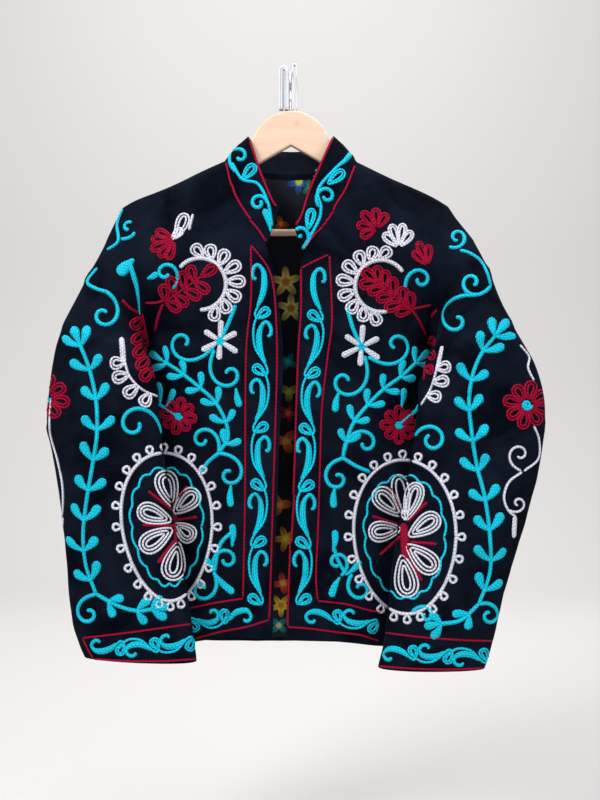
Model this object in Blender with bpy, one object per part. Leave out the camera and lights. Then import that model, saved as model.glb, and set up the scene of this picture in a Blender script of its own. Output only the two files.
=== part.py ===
# Embroidered velvet jacket hanging on a wooden hanger
# The origin is the point where the hook rests, +Z is up, and the open front faces -Y.
# Left and right in the names are the wearer's, so the right side lies at minus X.

import bpy
import math

for old in list(bpy.data.objects):
    bpy.data.objects.remove(old, do_unlink=True)

# Main sizes, in millimetres
VELVET_WALL = 2.0
LINING_WALL = 1.0
SEAM_GAP = 0.5
LINING_GAP = 0.4
LENS_POWER = 2.2
ARMHOLE_DEPTH = 34.0
ARMHOLE_POWER = 0.85
UNDERARM_HEIGHT = -352.0
NECK_SLOPE = 0.45
COLLAR_BULGE = 2.0
COLLAR_MIDDLE_DEPTH = 5.0
LINING_HEM = 5.0
METRES = 0.001
SHARP_ANGLE = math.radians(40)

# Colours of the materials
VELVET = (0.012, 0.014, 0.03)
LINING = (0.03, 0.035, 0.07)
WOOD = (0.87, 0.66, 0.45)
STEEL = (0.6, 0.6, 0.62)
CORD = (0.75, 0.75, 0.8)

# How the panels are divided: rows run down, columns run across
ARMHOLE_STEPS = [0, 0.02, 0.055, 0.11, 0.19, 0.29, 0.4, 0.51, 0.62, 0.73, 0.83, 0.92, 1]
NECK_STEPS = [0, 0.03, 0.09, 0.2, 0.36, 0.56, 0.78, 1]
ARMHOLE_ROWS = len(ARMHOLE_STEPS) - 1
NECK_ROWS = len(NECK_STEPS) - 1
LOWER_ROWS = 14
ROWS = ARMHOLE_ROWS + LOWER_ROWS
FRONT_COLUMNS = 10
NECK_SHARES = [0, 0.04, 0.1, 0.22, 0.4, 0.6, 0.78, 0.9, 0.96, 1]
NECK_COLUMNS = len(NECK_SHARES) - 1
COLLAR_ROWS = 3
LINING_START = 3
MAX_MITER = 1.5
# Folds fade out over these shares of their length and of a panel's width, and over these
# rows below the shoulder
FOLD_FADE = 0.3
FOLD_REST = 0.4
EDGE_CALM = 0.2
CALM_ROWS = 4

# Outlines seen from the front, each row of a table is (across, height)
SHOULDER = {
    "right": [(-85, -113.6), (-117, -128), (-147, -143), (-177, -155.5),
              (-202, -165), (-216.7, -174)],
    "left": [(86, -114.6), (110, -126.5), (133.7, -137.7), (166.6, -151.9),
             (188, -162.3), (204, -172.6)],
}
NECKLINE = {
    "right": [(-85, -113.6), (-79, -136), (-71.8, -159.5), (-54.6, -190.8),
              (-40.5, -207.5), (-29.1, -225.2)],
    "left": [(86, -114.6), (79.5, -136), (70, -155.3), (58, -177), (50.5, -196.5),
             (33.2, -213), (17.5, -235.4)],
}
FRONT_EDGE = {
    "right": [(-29.1, -225.2), (-28, -240), (-21.9, -261.4), (-16.4, -295.4),
              (-10.6, -337), (-8.9, -368.4), (-10.1, -408.7), (-13.9, -472.8),
              (-15.4, -520.4), (-18.9, -603.1), (-20.6, -667.1), (-22.6, -722)],
    "left": [(17.5, -235.4), (12.5, -255.2), (11.4, -295.5), (10, -320), (9.5, -368.4),
             (6.2, -441.3), (4.8, -505.4), (4.6, -554.2), (1.7, -586.8),
             (-0.7, -634.5), (-3, -683.2), (-5.1, -723.4)],
}
FRONT_ARMHOLE = {
    "right": [(-216.7, -174), (-206, -187), (-199.2, -203), (-191.3, -239),
              (-187.4, -281), (-182, -318), (-180, -352)],
    "left": [(204, -172.6), (200, -190), (198.2, -211), (196, -235), (188, -276),
             (180, -315), (177, -352)],
}
BACK_ARMHOLE = {
    "right": [(-216.7, -174), (-207, -200), (-198, -240), (-191, -290), (-180, -352)],
    "left": [(204, -172.6), (199, -200), (194, -240), (188, -290), (177, -352)],
}
SIDE_SEAM = {
    "right": [(-180, -352), (-184, -360), (-188, -372), (-191, -395), (-194, -440),
              (-199, -500), (-203, -600), (-206, -729)],
    "left": [(177, -352), (181, -360), (185, -372), (188, -395), (191, -440),
             (196, -500), (200, -600), (203, -731)],
}
FRONT_HEM = {
    "right": [(-22.6, -722), (-50, -721.5), (-83, -720.5), (-116, -726), (-160, -730),
              (-206, -729)],
    "left": [(-5.1, -723.4), (24, -724.6), (65, -726), (88, -728), (112, -732),
             (160, -734), (203, -731)],
}
BACK_HEM = [(-206, -729), (-150, -738), (-70, -742), (0, -742), (70, -742), (150, -739),
            (203, -731)]
BACK_NECK = [(-85, -113.6), (-68, -119), (-40, -125.5), (0, -129), (40, -126),
             (68, -120), (86, -114.6)]

# Depth of each half of the body below the shoulder, rows are (drop, front, back)
BODY_DEPTH = [(0, 0, 0), (3.5, 6.8, 6.8), (9.5, 10.8, 10.8), (20, 14.5, 14),
              (47, 22, 20), (80, 30, 26), (120, 37.5, 31), (200, 42, 36),
              (350, 44, 39), (620, 46, 41)]

# Broad folds that stand out of a front, rows are (across, height, across at the end,
# height at the end, half width, rise)
FRONT_FOLDS = {
    "right": [(-105, -160, -176, -322, 13, 4.0), (-78, -190, -150, -345, 15, -3.0),
              (-168, -352, -120, -470, 15, 3.5), (-60, -300, -44, -560, 18, 2.5),
              (-95, -560, -105, -728, 16, 4.5), (-45, -600, -58, -728, 13, -3.5)],
    "left": [(108, -165, 178, -322, 13, 4.0), (80, -200, 150, -350, 15, -3.0),
             (170, -355, 124, -470, 15, 3.5), (56, -310, 40, -560, 18, 2.5),
             (92, -560, 84, -731, 15, 4.5), (40, -600, 34, -728, 13, -3.0)],
}
BACK_FOLDS = [(-120, -170, -60, -330, 18, 3.5), (118, -170, 62, -330, 18, 3.5),
              (-60, -420, -75, -738, 20, 5.0), (45, -380, 62, -740, 20, 5.0),
              (-135, -480, -140, -735, 16, -3.5), (128, -470, 138, -736, 16, -3.5),
              (-8, -520, -6, -742, 18, -3.0)]

# Top edge of the standing collar, rows are (across, depth, height)
COLLAR_TOP = {
    "right": [(-13.5, -40, -179.7), (-20.9, -35, -168), (-29, -28.5, -149),
              (-38, -22, -129), (-46.5, -16, -105), (-53, -10, -88), (-55, 0, -81)],
    "back": [(-55, 0, -81), (-53, 11, -83), (-48, 25, -87), (-30, 41, -95), (0, 49, -90.5),
             (31, 41, -95.5), (49, 25, -87), (54.5, 11, -83), (56.5, 0, -80.5)],
    "left": [(56.5, 0, -80.5), (54.5, -10.5, -87), (46.5, -16.5, -103),
             (36.7, -22.5, -123), (27.8, -28.5, -141), (21, -34, -162),
             (13, -40, -186), (4.6, -44, -204.4)],
}

# Sleeves, rows are (outer across, outer height, inner across, inner height,
# depth of the middle, half thickness)
SLEEVE = {
    "right": [(-216.7, -174, -180, -352, 0, 34), (-229, -199, -190, -355, -2.5, 33),
              (-240.5, -230, -186, -360.5, -16, 31),
              (-262, -279, -180, -365, -34, 28), (-281.6, -321, -176, -374, -43, 28),
              (-293.5, -359, -171, -386, -48, 28), (-299.6, -404, -167, -404, -52, 28),
              (-303.5, -449, -161.5, -441, -58, 27), (-294, -488, -157.5, -478, -62, 26),
              (-285.7, -536, -150, -526, -65, 26), (-279, -579, -143, -571, -67, 26),
              (-274.6, -623, -134, -620, -69, 26), (-271.7, -667, -125.5, -666, -70, 26),
              (-265.5, -707, -119, -708, -71, 26), (-252.7, -737, -114, -743, -72, 25)],
    "left": [(204, -172.6, 177, -352, 0, 34), (216, -191, 188, -354, -1.5, 33),
             (230, -212, 183, -360.5, -16, 31), (248, -250, 176, -365, -34, 28),
             (268, -305, 171, -374, -43, 28), (291, -350, 166, -386, -48, 28),
             (309, -385, 162, -402, -52, 28), (318, -430, 157, -440, -58, 27),
             (312.8, -491, 150.3, -493, -62, 26), (301, -540, 140.5, -540, -65, 26),
             (288, -581, 134.8, -577, -67, 26), (274, -627, 126.5, -620, -69, 26),
             (261, -669, 122, -663, -70, 26), (252, -713, 118.5, -708, -71, 26),
             (240, -751, 108.3, -750.5, -72, 25)],
}
SLEEVE_RINGS = [0, 0.5, 1, 1.6, 2.2, 2.8, 3.4, 4, 4.5, 5, 5.5, 6, 6.6, 7.2, 7.8, 8.5,
                9.2, 10, 10.8, 11.6, 12.4, 13.2, 14]
SLEEVE_POWER = 2.3
CAP_BLEND = 4.5
CAP_CALM = 3.0
# Sleeve folds, rows are (ring, turn from the top in degrees, half length in rings,
# half width in degrees, rise); a turn of 90 faces the front and 180 is the inner side
SLEEVE_FOLDS = {
    "right": [(5.2, 128, 1.6, 18, 4.0), (6.9, 60, 1.5, 16, 3.0),
              (7.6, 118, 1.2, 16, -3.0), (9.4, 70, 1.8, 15, 3.0),
              (11.2, 112, 1.9, 16, 3.0), (12.8, 52, 1.3, 14, -2.5),
              (8.0, 200, 1.2, 20, -2.0), (4.0, 75, 1.5, 18, -3.0)],
    "left": [(5.4, 125, 1.7, 18, 4.0), (7.1, 58, 1.4, 16, 3.0),
             (7.9, 115, 1.3, 16, -3.0), (9.7, 66, 1.7, 15, 3.0),
             (11.6, 108, 1.8, 16, 3.0), (12.6, 48, 1.3, 14, -2.5),
             (8.2, 200, 1.2, 20, -2.0), (4.1, 72, 1.5, 18, -3.0)],
}

# Wooden hanger, rows are (distance from the middle, top, bottom)
HANGER_MIDDLE = 0.9
HANGER_THICKNESS = 12.0
HANGER_ROUND = 3.5
HANGER_END_ROUND = 5.6
HANGER_CHEEK = 56.0
HANGER_FLAT = 0.5
HANGER_OUTLINE = [(0, -48.3, -94), (10, -49.2, -99.6), (20, -52.4, -105.2),
                  (30, -58.4, -110.8), (38, -65.6, -115.6), (44.5, -74.5, -119.4),
                  (49.5, -84.5, -122.4), (55, -95, -125.8), (63, -105, -130.6),
                  (74, -113.5, -137), (88, -120.8, -145), (104, -128.5, -153),
                  (120, -136.5, -160), (140, -147, -168), (155, -154, -176),
                  (164, -158, -187), (171, -161.5, -207), (176, -164, -213),
                  (182, -168, -213.5), (187, -175, -206)]
BAR_RADIUS = 4.6
BAR_HEIGHT = -205.8
BAR_END = 168.5
BAR_CHAMFER = 0.8
BAR_SIDES = 20

# Steel hook, bent in the plane that the viewer sees edge on
WIRE_RADIUS = 1.6
WIRE_SIDES = 12
HOOK_RADIUS = 15.0
# The shank and its bend to the back, rows are (depth, height), then the arc in degrees
HOOK_SHANK = [(0.0, -47.8), (0.0, -42.0), (0.2, -37.5), (2.4, -33.2), (6.6, -29.4)]
HOOK_ARC = range(-35, 196, 15)
# Cord skeins on both sides of the hook, rows are (height, from, to, half thickness)
CORD_LEFT_SIDE = [(-47.4, -13.4, -2.2, 3.6), (-44, -14.4, -2.2, 4.2),
                  (-30, -14.6, -2.2, 4.6), (-8, -14.2, -2.2, 4.6), (3, -13.8, -2.2, 4.2),
                  (8, -12.2, -2.4, 3.2), (11, -9.4, -3.4, 1.8)]
CORD_RIGHT_SIDE = [(-47.4, 2.4, 6.2, 2.4), (-44, 2.2, 7.4, 2.9), (-30, 2.2, 9.2, 3.4),
                   (-8, 2.2, 9.8, 3.4), (3, 2.2, 9.8, 3.2), (10, 2.2, 8.8, 2.8),
                   (16, 3.2, 7.0, 1.6)]
CORD_SIDES = 16
CORD_POWER = 0.7


def add(a, b, scale=1.0):
    return tuple(p + scale * q for p, q in zip(a, b))


def dot(a, b):
    return sum(p * q for p, q in zip(a, b))


def cross(a, b):
    return (a[1] * b[2] - a[2] * b[1], a[2] * b[0] - a[0] * b[2], a[0] * b[1] - a[1] * b[0])


def unit(a):
    length = math.sqrt(dot(a, a))
    return tuple(p / length for p in a) if length > 1e-9 else (0.0, 0.0, 0.0)


def mix(a, b, share):
    return tuple(p + (q - p) * share for p, q in zip(a, b))


def smooth_step(share):
    share = min(1.0, max(0.0, share))
    return share * share * (3 - 2 * share)


def curve(keys, values, at):
    """The value of a smooth curve that never overshoots its table."""
    if at <= keys[0]:
        return values[0]
    if at >= keys[-1]:
        return values[-1]
    last = len(keys) - 1
    spans = [keys[i + 1] - keys[i] for i in range(last)]
    slopes = [(values[i + 1] - values[i]) / spans[i] for i in range(last)]
    tilts = [slopes[0]]
    for i in range(1, last):
        if slopes[i - 1] * slopes[i] <= 0:
            tilts.append(0.0)
        else:
            one = 2 * spans[i] + spans[i - 1]
            two = spans[i] + 2 * spans[i - 1]
            tilts.append((one + two) / (one / slopes[i - 1] + two / slopes[i]))
    tilts.append(slopes[-1])
    i = max(k for k in range(last) if keys[k] <= at)
    part = (at - keys[i]) / spans[i]
    rest = 1 - part
    return (
        values[i] * (1 + 2 * part) * rest * rest
        + tilts[i] * spans[i] * part * rest * rest
        + values[i + 1] * part * part * (3 - 2 * part)
        - tilts[i + 1] * spans[i] * part * part * rest
    )


def look_up(table, at):
    """The columns of a table after its first one, read where the first one equals at."""
    rows = sorted(table)
    keys = [row[0] for row in rows]
    return [curve(keys, [row[k] for row in rows], at) for k in range(1, len(rows[0]))]


def along(points, share):
    """The point at a share of the length of a line through some points."""
    travelled = [0.0]
    for a, b in zip(points, points[1:]):
        travelled.append(travelled[-1] + math.dist(a, b))
    at = share * travelled[-1]
    return tuple(curve(travelled, [p[k] for p in points], at) for k in range(len(points[0])))


def shoulder_height(across):
    """Height of the shoulder line, carried on over the neck opening."""
    table = SHOULDER["right"] if across < 0 else SHOULDER["left"]
    inner = abs(table[0][0])
    if abs(across) < inner:
        return table[0][1] + NECK_SLOPE * (inner - abs(across))
    return curve([abs(row[0]) for row in table], [row[1] for row in table], abs(across))


def fold(table, across, height):
    """How far the folds of a table lift the cloth at a place on it."""
    rise = 0.0
    for x1, z1, x2, z2, width, lift in table:
        run = (x2 - x1, z2 - z1)
        length = math.hypot(*run)
        part = ((across - x1) * run[0] + (height - z1) * run[1]) / (length * length)
        aside = abs((across - x1) * run[1] - (height - z1) * run[0]) / length
        ends = smooth_step(part / FOLD_FADE + FOLD_REST)
        ends *= smooth_step((1 - part) / FOLD_FADE + FOLD_REST)
        rise += lift * ends * math.exp(-((aside / width) ** 2))
    return rise


def depth_at(across, height, edge_across, edge_depth, column):
    """Depth of the body, a lens between its two edges with the fullest part in the middle."""
    drop = max(0.0, shoulder_height(across) - height)
    middle = look_up(BODY_DEPTH, drop)[column]
    share = min(1.0, abs(across) / abs(edge_across))
    lens = max(0.0, 1 - share**LENS_POWER) ** (1 / LENS_POWER)
    return edge_depth + (middle - edge_depth) * lens


def armhole_depth(share):
    """How far the armhole lies in front of the shoulder line, from its top to its foot."""
    return ARMHOLE_DEPTH * math.sin(math.pi * share**ARMHOLE_POWER)


def lower_share(row):
    return (row - ARMHOLE_ROWS) / LOWER_ROWS


def patch(inner, outer, top, bottom, down, column):
    """The point between four edges seen from the front, by row and column shares."""
    lower, upper = outer[-1], outer[0]
    start, end = inner[0], inner[-1]
    row = down / ROWS
    sides = mix(inner[down], outer[down], column)
    ends = mix(top(column), bottom(column), row)
    corners = mix(mix(start, upper, column), mix(end, lower, column), row)
    return (sides[0] + ends[0] - corners[0], sides[1] + ends[1] - corners[1])


def body_side(armhole, side):
    """The outer edge of a panel: the armhole, then the side seam."""
    points = [along(armhole, share) for share in ARMHOLE_STEPS]
    seam = SIDE_SEAM[side]
    points += [along(seam, lower_share(row)) for row in range(ARMHOLE_ROWS + 1, ROWS + 1)]
    return points


def edge_depth_at(row):
    return armhole_depth(ARMHOLE_STEPS[row]) if row <= ARMHOLE_ROWS else 0.0


def front_grid(side):
    """Outer face of a front, as rows of points from the opening out to the side."""
    outer = body_side(FRONT_ARMHOLE[side], side)
    inner = [along(NECKLINE[side], share) for share in NECK_STEPS]
    edge = FRONT_EDGE[side]
    bend = (edge[0][1] - UNDERARM_HEIGHT) / (edge[0][1] - edge[-1][1])
    for row in range(NECK_ROWS + 1, ROWS + 1):
        if row <= ARMHOLE_ROWS:
            share = bend * (row - NECK_ROWS) / (ARMHOLE_ROWS - NECK_ROWS)
        else:
            share = bend + (1 - bend) * lower_share(row)
        inner.append(along(edge, share))
    grid = []
    for row in range(ROWS + 1):
        line = []
        for column in range(FRONT_COLUMNS + 1):
            share = column / FRONT_COLUMNS
            x, z = patch(
                inner, outer,
                lambda part: along(SHOULDER[side], part),
                lambda part: along(FRONT_HEM[side], part),
                row, share,
            )
            y = 0.0
            if 0 < row:
                y = depth_at(x, z, outer[row][0], edge_depth_at(row), 0)
                calm = smooth_step((1 - share) / EDGE_CALM) * smooth_step(row / CALM_ROWS)
                y += fold(FRONT_FOLDS[side], x, z) * calm
            line.append((x, -y, z))
        grid.append(line)
    return grid


def back_grid():
    """Outer face of the back, as rows of points from the wearer's right to the left."""
    right = body_side(BACK_ARMHOLE["right"], "right")
    left = body_side(BACK_ARMHOLE["left"], "left")
    columns = 2 * FRONT_COLUMNS + NECK_COLUMNS
    top = [along(SHOULDER["right"], 1 - k / FRONT_COLUMNS) for k in range(FRONT_COLUMNS)]
    top += [along(BACK_NECK, NECK_SHARES[k]) for k in range(NECK_COLUMNS)]
    top += [along(SHOULDER["left"], k / FRONT_COLUMNS) for k in range(FRONT_COLUMNS + 1)]
    grid = []
    for row in range(ROWS + 1):
        line = []
        for column in range(columns + 1):
            share = (top[column][0] - top[0][0]) / (top[-1][0] - top[0][0])
            bottom = along(BACK_HEM, share)
            down = row / ROWS
            sides = mix(right[row], left[row], share)
            ends = mix(top[column], bottom, down)
            corners = mix(mix(top[0], top[-1], share), mix(right[-1], left[-1], share), down)
            # The shoulder slope fades out of the rows over the armhole
            fade = 1 - smooth_step(row / (ARMHOLE_ROWS + CALM_ROWS))
            x = sides[0] + ends[0] - corners[0]
            z = sides[1] + (ends[1] - corners[1]) * fade
            z += (bottom[1] - mix(right[-1], left[-1], share)[1]) * down * (1 - fade)
            edge = right if x < 0 else left
            y = depth_at(x, z, edge[row][0], edge_depth_at(row), 1)
            if row == 0 and not FRONT_COLUMNS < column < FRONT_COLUMNS + NECK_COLUMNS:
                y = 0.0
            if 0 < row:
                near = 2 * min(share, 1 - share)
                calm = smooth_step(near / EDGE_CALM) * smooth_step(row / CALM_ROWS)
                y += fold(BACK_FOLDS, x, z) * calm
            line.append((x, y, z))
        grid.append(line)
    return grid


def sleeve_ring(side, station, turns):
    """An oval ring of a sleeve, with no turn at its outer side and half a turn inside."""
    table = SLEEVE[side]
    keys = list(range(len(table)))
    ox, oz, ix, iz, y, thick = (
        curve(keys, [row[k] for row in table], station) for k in range(6)
    )
    ring = []
    for turn in turns:
        c, s = math.cos(turn), math.sin(turn)
        long = math.copysign(abs(c) ** (2 / SLEEVE_POWER), c)
        flat = math.copysign(abs(s) ** (2 / SLEEVE_POWER), s)
        lift = 0.0
        degrees = math.degrees(turn)
        for at, angle, reach, width, rise in SLEEVE_FOLDS[side]:
            off = (degrees - angle + 180) % 360 - 180
            lift += rise * math.exp(-((station - at) / reach) ** 2 - (off / width) ** 2)
        middle = ((ox + ix) / 2, y, (oz + iz) / 2)
        half = ((ox - ix) / 2, 0.0, (oz - iz) / 2)
        point = add(add(middle, half, long), (0, -thick, 0), flat)
        out = unit(add(tuple(c * k for k in unit(half)), (0, -1, 0), s))
        ring.append(add(point, out, lift * smooth_step(station / CAP_CALM)))
    return ring


def sleeve_grid(side, front, back):
    """Outer face of a sleeve: rings that grow out of the armhole of the two panels."""
    armhole = [front[row][-1] for row in range(ARMHOLE_ROWS + 1)]
    edge = 0 if side == "right" else -1
    armhole += [back[row][edge] for row in range(ARMHOLE_ROWS - 1, 0, -1)]
    count = len(armhole)
    turns = []
    for k in range(count):
        if k <= ARMHOLE_ROWS:
            turns.append(math.pi * smooth_turn(ARMHOLE_STEPS[k]))
        else:
            turns.append(2 * math.pi - math.pi * smooth_turn(ARMHOLE_STEPS[count - k]))
    first = sleeve_ring(side, 0, turns)
    shift = [add(a, b, -1) for a, b in zip(armhole, first)]
    # Once free of the armhole, the points are spread evenly round the sleeve
    even = [2 * math.pi * k / count for k in range(count)]
    grid = []
    for station in SLEEVE_RINGS:
        free = smooth_step(station / CAP_BLEND)
        spread = [a + (b - a) * free for a, b in zip(turns, even)]
        ring = sleeve_ring(side, station, spread)
        grid.append([add(p, s, 1 - free) for p, s in zip(ring, shift)])
    grid[0] = armhole
    return grid


def smooth_turn(share):
    """Share of a half turn on an oval at a share of the way down it."""
    return math.acos(1 - 2 * share) / math.pi


def collar_grid(front_right, front_left, back):
    """Outer face of the standing collar, from its seam up to its edge."""
    seam = [front_right[row][0] for row in range(NECK_ROWS, 0, -1)]
    seam += [back[0][FRONT_COLUMNS + k] for k in range(NECK_COLUMNS + 1)]
    seam += [front_left[row][0] for row in range(1, NECK_ROWS + 1)]
    steps = []
    total = len(seam) - 1
    for k in range(total + 1):
        if k <= NECK_ROWS:
            steps.append(NECK_STEPS[NECK_ROWS - k])
        elif k >= total - NECK_ROWS:
            steps.append(NECK_STEPS[k - total + NECK_ROWS])
        else:
            steps.append(NECK_SHARES[k - NECK_ROWS])
    grid = []
    for row in range(COLLAR_ROWS + 1):
        line = []
        for k in range(total + 1):
            if k <= NECK_ROWS:
                top = along(COLLAR_TOP["right"], 1 - steps[k])
            elif k >= total - NECK_ROWS:
                top = along(COLLAR_TOP["left"], steps[k])
            else:
                top = along(COLLAR_TOP["back"], steps[k])
            share = row / COLLAR_ROWS
            bulge = COLLAR_BULGE * math.sin(math.pi * share)
            point = mix(seam[k], top, share)
            out = unit((point[0], point[1] - COLLAR_MIDDLE_DEPTH, 0))
            line.append(add(point, out, bulge))
        grid.append(line)
    return grid


def normals_of(grid, closed):
    """Outward direction at each point of a grid, pointing away from its body."""
    rows, columns = len(grid), len(grid[0])
    result = []
    for i in range(rows):
        line = []
        for j in range(columns):
            up, down = grid[max(i - 1, 0)][j], grid[min(i + 1, rows - 1)][j]
            if closed:
                before, after = grid[i][j - 1], grid[i][(j + 1) % columns]
            else:
                before, after = grid[i][max(j - 1, 0)], grid[i][min(j + 1, columns - 1)]
            line.append(unit(cross(add(down, up, -1), add(after, before, -1))))
        result.append(line)
    return result


def turned(directions):
    return [[tuple(-k for k in d) for d in line] for line in directions]


def rim(points, first_outer, next_outer, next_inner, first_inner):
    """Two faces across the edge of a wall, split from its lower outer corner, so that both
    pieces at a seam are split alike."""
    if points[first_outer][2] < points[next_outer][2]:
        return [(first_outer, next_outer, next_inner), (first_outer, next_inner, first_inner)]
    return [(first_outer, next_outer, first_inner), (next_outer, next_inner, first_inner)]


def make_wall(outer, inner, closed):
    """Points and faces of a closed wall between an outer and an inner grid."""
    rows, columns = len(outer), len(outer[0])
    points = [p for line in outer for p in line] + [p for line in inner for p in line]
    offset = rows * columns

    def at(i, j, side):
        return i * columns + j % columns + side * offset

    faces = []
    spans = columns if closed else columns - 1
    for i in range(rows - 1):
        for j in range(spans):
            faces.append((at(i, j, 0), at(i, j + 1, 0), at(i + 1, j + 1, 0), at(i + 1, j, 0)))
            faces.append((at(i, j, 1), at(i + 1, j, 1), at(i + 1, j + 1, 1), at(i, j + 1, 1)))
    last = rows - 1
    for j in range(spans):
        k = j + 1
        faces += rim(points, at(0, k, 0), at(0, j, 0), at(0, j, 1), at(0, k, 1))
        faces += rim(points, at(last, j, 0), at(last, k, 0), at(last, k, 1), at(last, j, 1))
    if not closed:
        last = columns - 1
        for i in range(rows - 1):
            k = i + 1
            faces += rim(points, at(i, 0, 0), at(k, 0, 0), at(k, 0, 1), at(i, 0, 1))
            faces += rim(points, at(k, last, 0), at(i, last, 0), at(i, last, 1), at(k, last, 1))
    return points, faces


def make_object(name, points, faces, colour, roughness, metal=0.0):
    mesh = bpy.data.meshes.new(name)
    mesh.from_pydata([tuple(k * METRES for k in p) for p in points], [], faces)
    mesh.validate()
    obj = bpy.data.objects.new(name, mesh)
    bpy.context.scene.collection.objects.link(obj)
    bpy.ops.object.select_all(action="DESELECT")
    bpy.context.view_layer.objects.active = obj
    obj.select_set(True)
    bpy.ops.object.mode_set(mode="EDIT")
    bpy.ops.mesh.select_all(action="SELECT")
    bpy.ops.mesh.normals_make_consistent(inside=False)
    bpy.ops.object.mode_set(mode="OBJECT")
    bpy.ops.object.shade_smooth_by_angle(angle=SHARP_ANGLE)
    material = bpy.data.materials.new(name)
    material.use_nodes = True
    shader = material.node_tree.nodes["Principled BSDF"]
    shader.inputs["Base Color"].default_value = (*colour, 1)
    shader.inputs["Roughness"].default_value = roughness
    shader.inputs["Metallic"].default_value = metal
    obj.data.materials.append(material)
    return obj


class Piece:
    """A cut piece: its outer face, the directions of its wall and how far its edges move in."""

    def __init__(self, grid, closed=False, flip=False):
        self.grid = grid
        self.closed = closed
        self.normals = normals_of(grid, closed)
        if flip:
            self.normals = turned(self.normals)
        self.direction = {}
        self.shift = {}

    def interior(self, i, j):
        """A point one step into the piece from a point on its edge."""
        rows, columns = len(self.grid), len(self.grid[0])
        ii = min(max(i, 1), rows - 2)
        jj = j if self.closed else min(max(j, 1), columns - 2)
        return self.grid[ii][jj]

    def join(self, place, tangent, common):
        """Turns the wall at a seam to the direction shared there and moves the edge in."""
        i, j = place
        across = unit(cross(tangent, common))
        if dot(across, add(self.interior(i, j), self.grid[i][j], -1)) < 0:
            across = tuple(-k for k in across)
        reach = min(MAX_MITER, 1 / max(0.3, dot(common, self.normals[i][j])))
        self.direction[place] = tuple(k * reach for k in common)
        self.shift.setdefault(place, []).append(across)

    def faces_at(self, start, end):
        """Grids at two distances under the outer face, with the seam gap taken off."""
        result = []
        for depth in (start, end):
            face = []
            for i, line in enumerate(self.grid):
                row = []
                for j, point in enumerate(line):
                    way = self.direction.get((i, j), self.normals[i][j])
                    moved = add(point, way, -depth)
                    for step in self.shift.get((i, j), []):
                        moved = add(moved, step, SEAM_GAP / 2)
                    row.append(moved)
                face.append(row)
            result.append(face)
        return result


def sew(seams):
    """Joins pieces along seams, each given as the places that two pieces share."""
    meeting = {}
    for pairs in seams:
        for piece, places in pairs:
            for i, j in places:
                key = tuple(round(k, 3) for k in piece.grid[i][j])
                meeting.setdefault(key, {})[id(piece)] = piece.normals[i][j]
    for pairs in seams:
        for piece, places in pairs:
            for k, (i, j) in enumerate(places):
                before = places[max(k - 1, 0)]
                after = places[min(k + 1, len(places) - 1)]
                start, end = piece.grid[before[0]][before[1]], piece.grid[after[0]][after[1]]
                total = (0.0, 0.0, 0.0)
                for normal in meeting[tuple(round(q, 3) for q in piece.grid[i][j])].values():
                    total = add(total, normal)
                piece.join((i, j), unit(add(end, start, -1)), unit(total))


# The outer faces of the cut pieces
right_grid, left_grid, rear_grid = front_grid("right"), front_grid("left"), back_grid()
front_right = Piece(right_grid, flip=True)
front_left = Piece(left_grid)
back = Piece(rear_grid, flip=True)
sleeve_right = Piece(sleeve_grid("right", right_grid, rear_grid), closed=True)
sleeve_left = Piece(sleeve_grid("left", left_grid, rear_grid), closed=True, flip=True)
collar = Piece(collar_grid(right_grid, left_grid, rear_grid))

# The seams, each with the same points on both pieces
seams = []
last_back = 2 * FRONT_COLUMNS + NECK_COLUMNS
for side_front, side_sleeve, edge in (
    (front_right, sleeve_right, 0), (front_left, sleeve_left, last_back),
):
    shoulder_back = [
        (0, FRONT_COLUMNS - k if edge == 0 else FRONT_COLUMNS + NECK_COLUMNS + k)
        for k in range(FRONT_COLUMNS + 1)
    ]
    armhole_rows = range(ARMHOLE_ROWS + 1)
    side_rows = range(ARMHOLE_ROWS, ROWS + 1)
    ring = len(side_sleeve.grid[0])
    seams += [
        [(side_front, [(0, k) for k in range(FRONT_COLUMNS + 1)]), (back, shoulder_back)],
        [(side_front, [(k, FRONT_COLUMNS) for k in armhole_rows]),
         (side_sleeve, [(0, k) for k in armhole_rows])],
        [(back, [(k, edge) for k in armhole_rows]),
         (side_sleeve, [(0, (ring - k) % ring) for k in armhole_rows])],
        [(side_front, [(k, FRONT_COLUMNS) for k in side_rows]),
         (back, [(k, edge) for k in side_rows])],
    ]
neck_last = len(collar.grid[0]) - 1
seams += [
    [(collar, [(0, NECK_ROWS - k) for k in range(NECK_ROWS + 1)]),
     (front_right, [(k, 0) for k in range(NECK_ROWS + 1)])],
    [(collar, [(0, neck_last - NECK_ROWS + k) for k in range(NECK_ROWS + 1)]),
     (front_left, [(k, 0) for k in range(NECK_ROWS + 1)])],
    [(collar, [(0, NECK_ROWS + k) for k in range(NECK_COLUMNS + 1)]),
     (back, [(0, FRONT_COLUMNS + k) for k in range(NECK_COLUMNS + 1)])],
]
sew(seams)

for name, piece in (
    ("front_right", front_right), ("front_left", front_left), ("back", back),
    ("sleeve_right", sleeve_right), ("sleeve_left", sleeve_left), ("collar", collar),
):
    outer_face, inner_face = piece.faces_at(0, VELVET_WALL)
    points, faces = make_wall(outer_face, inner_face, piece.closed)
    make_object(name, points, faces, VELVET, 0.9)

# Lining of the back, a thinner layer inside it that stops short of every seam
near_face, far_face = back.faces_at(
    VELVET_WALL + LINING_GAP, VELVET_WALL + LINING_GAP + LINING_WALL
)


def lining_face(face):
    """The same face without its outermost columns and without the rows over the hanger."""
    inside = range(1, len(face[0]) - 1)
    neck = range(FRONT_COLUMNS + 1, FRONT_COLUMNS + NECK_COLUMNS)
    result = [[face[1][j] if j in neck else face[LINING_START][j] for j in inside]]
    result += [[line[j] for j in inside] for line in face[LINING_START + 1 :]]
    for j, (low, high) in enumerate(zip(result[-1], result[-2])):
        result[-1][j] = add(low, unit(add(high, low, -1)), LINING_HEM)
    return result


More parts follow.
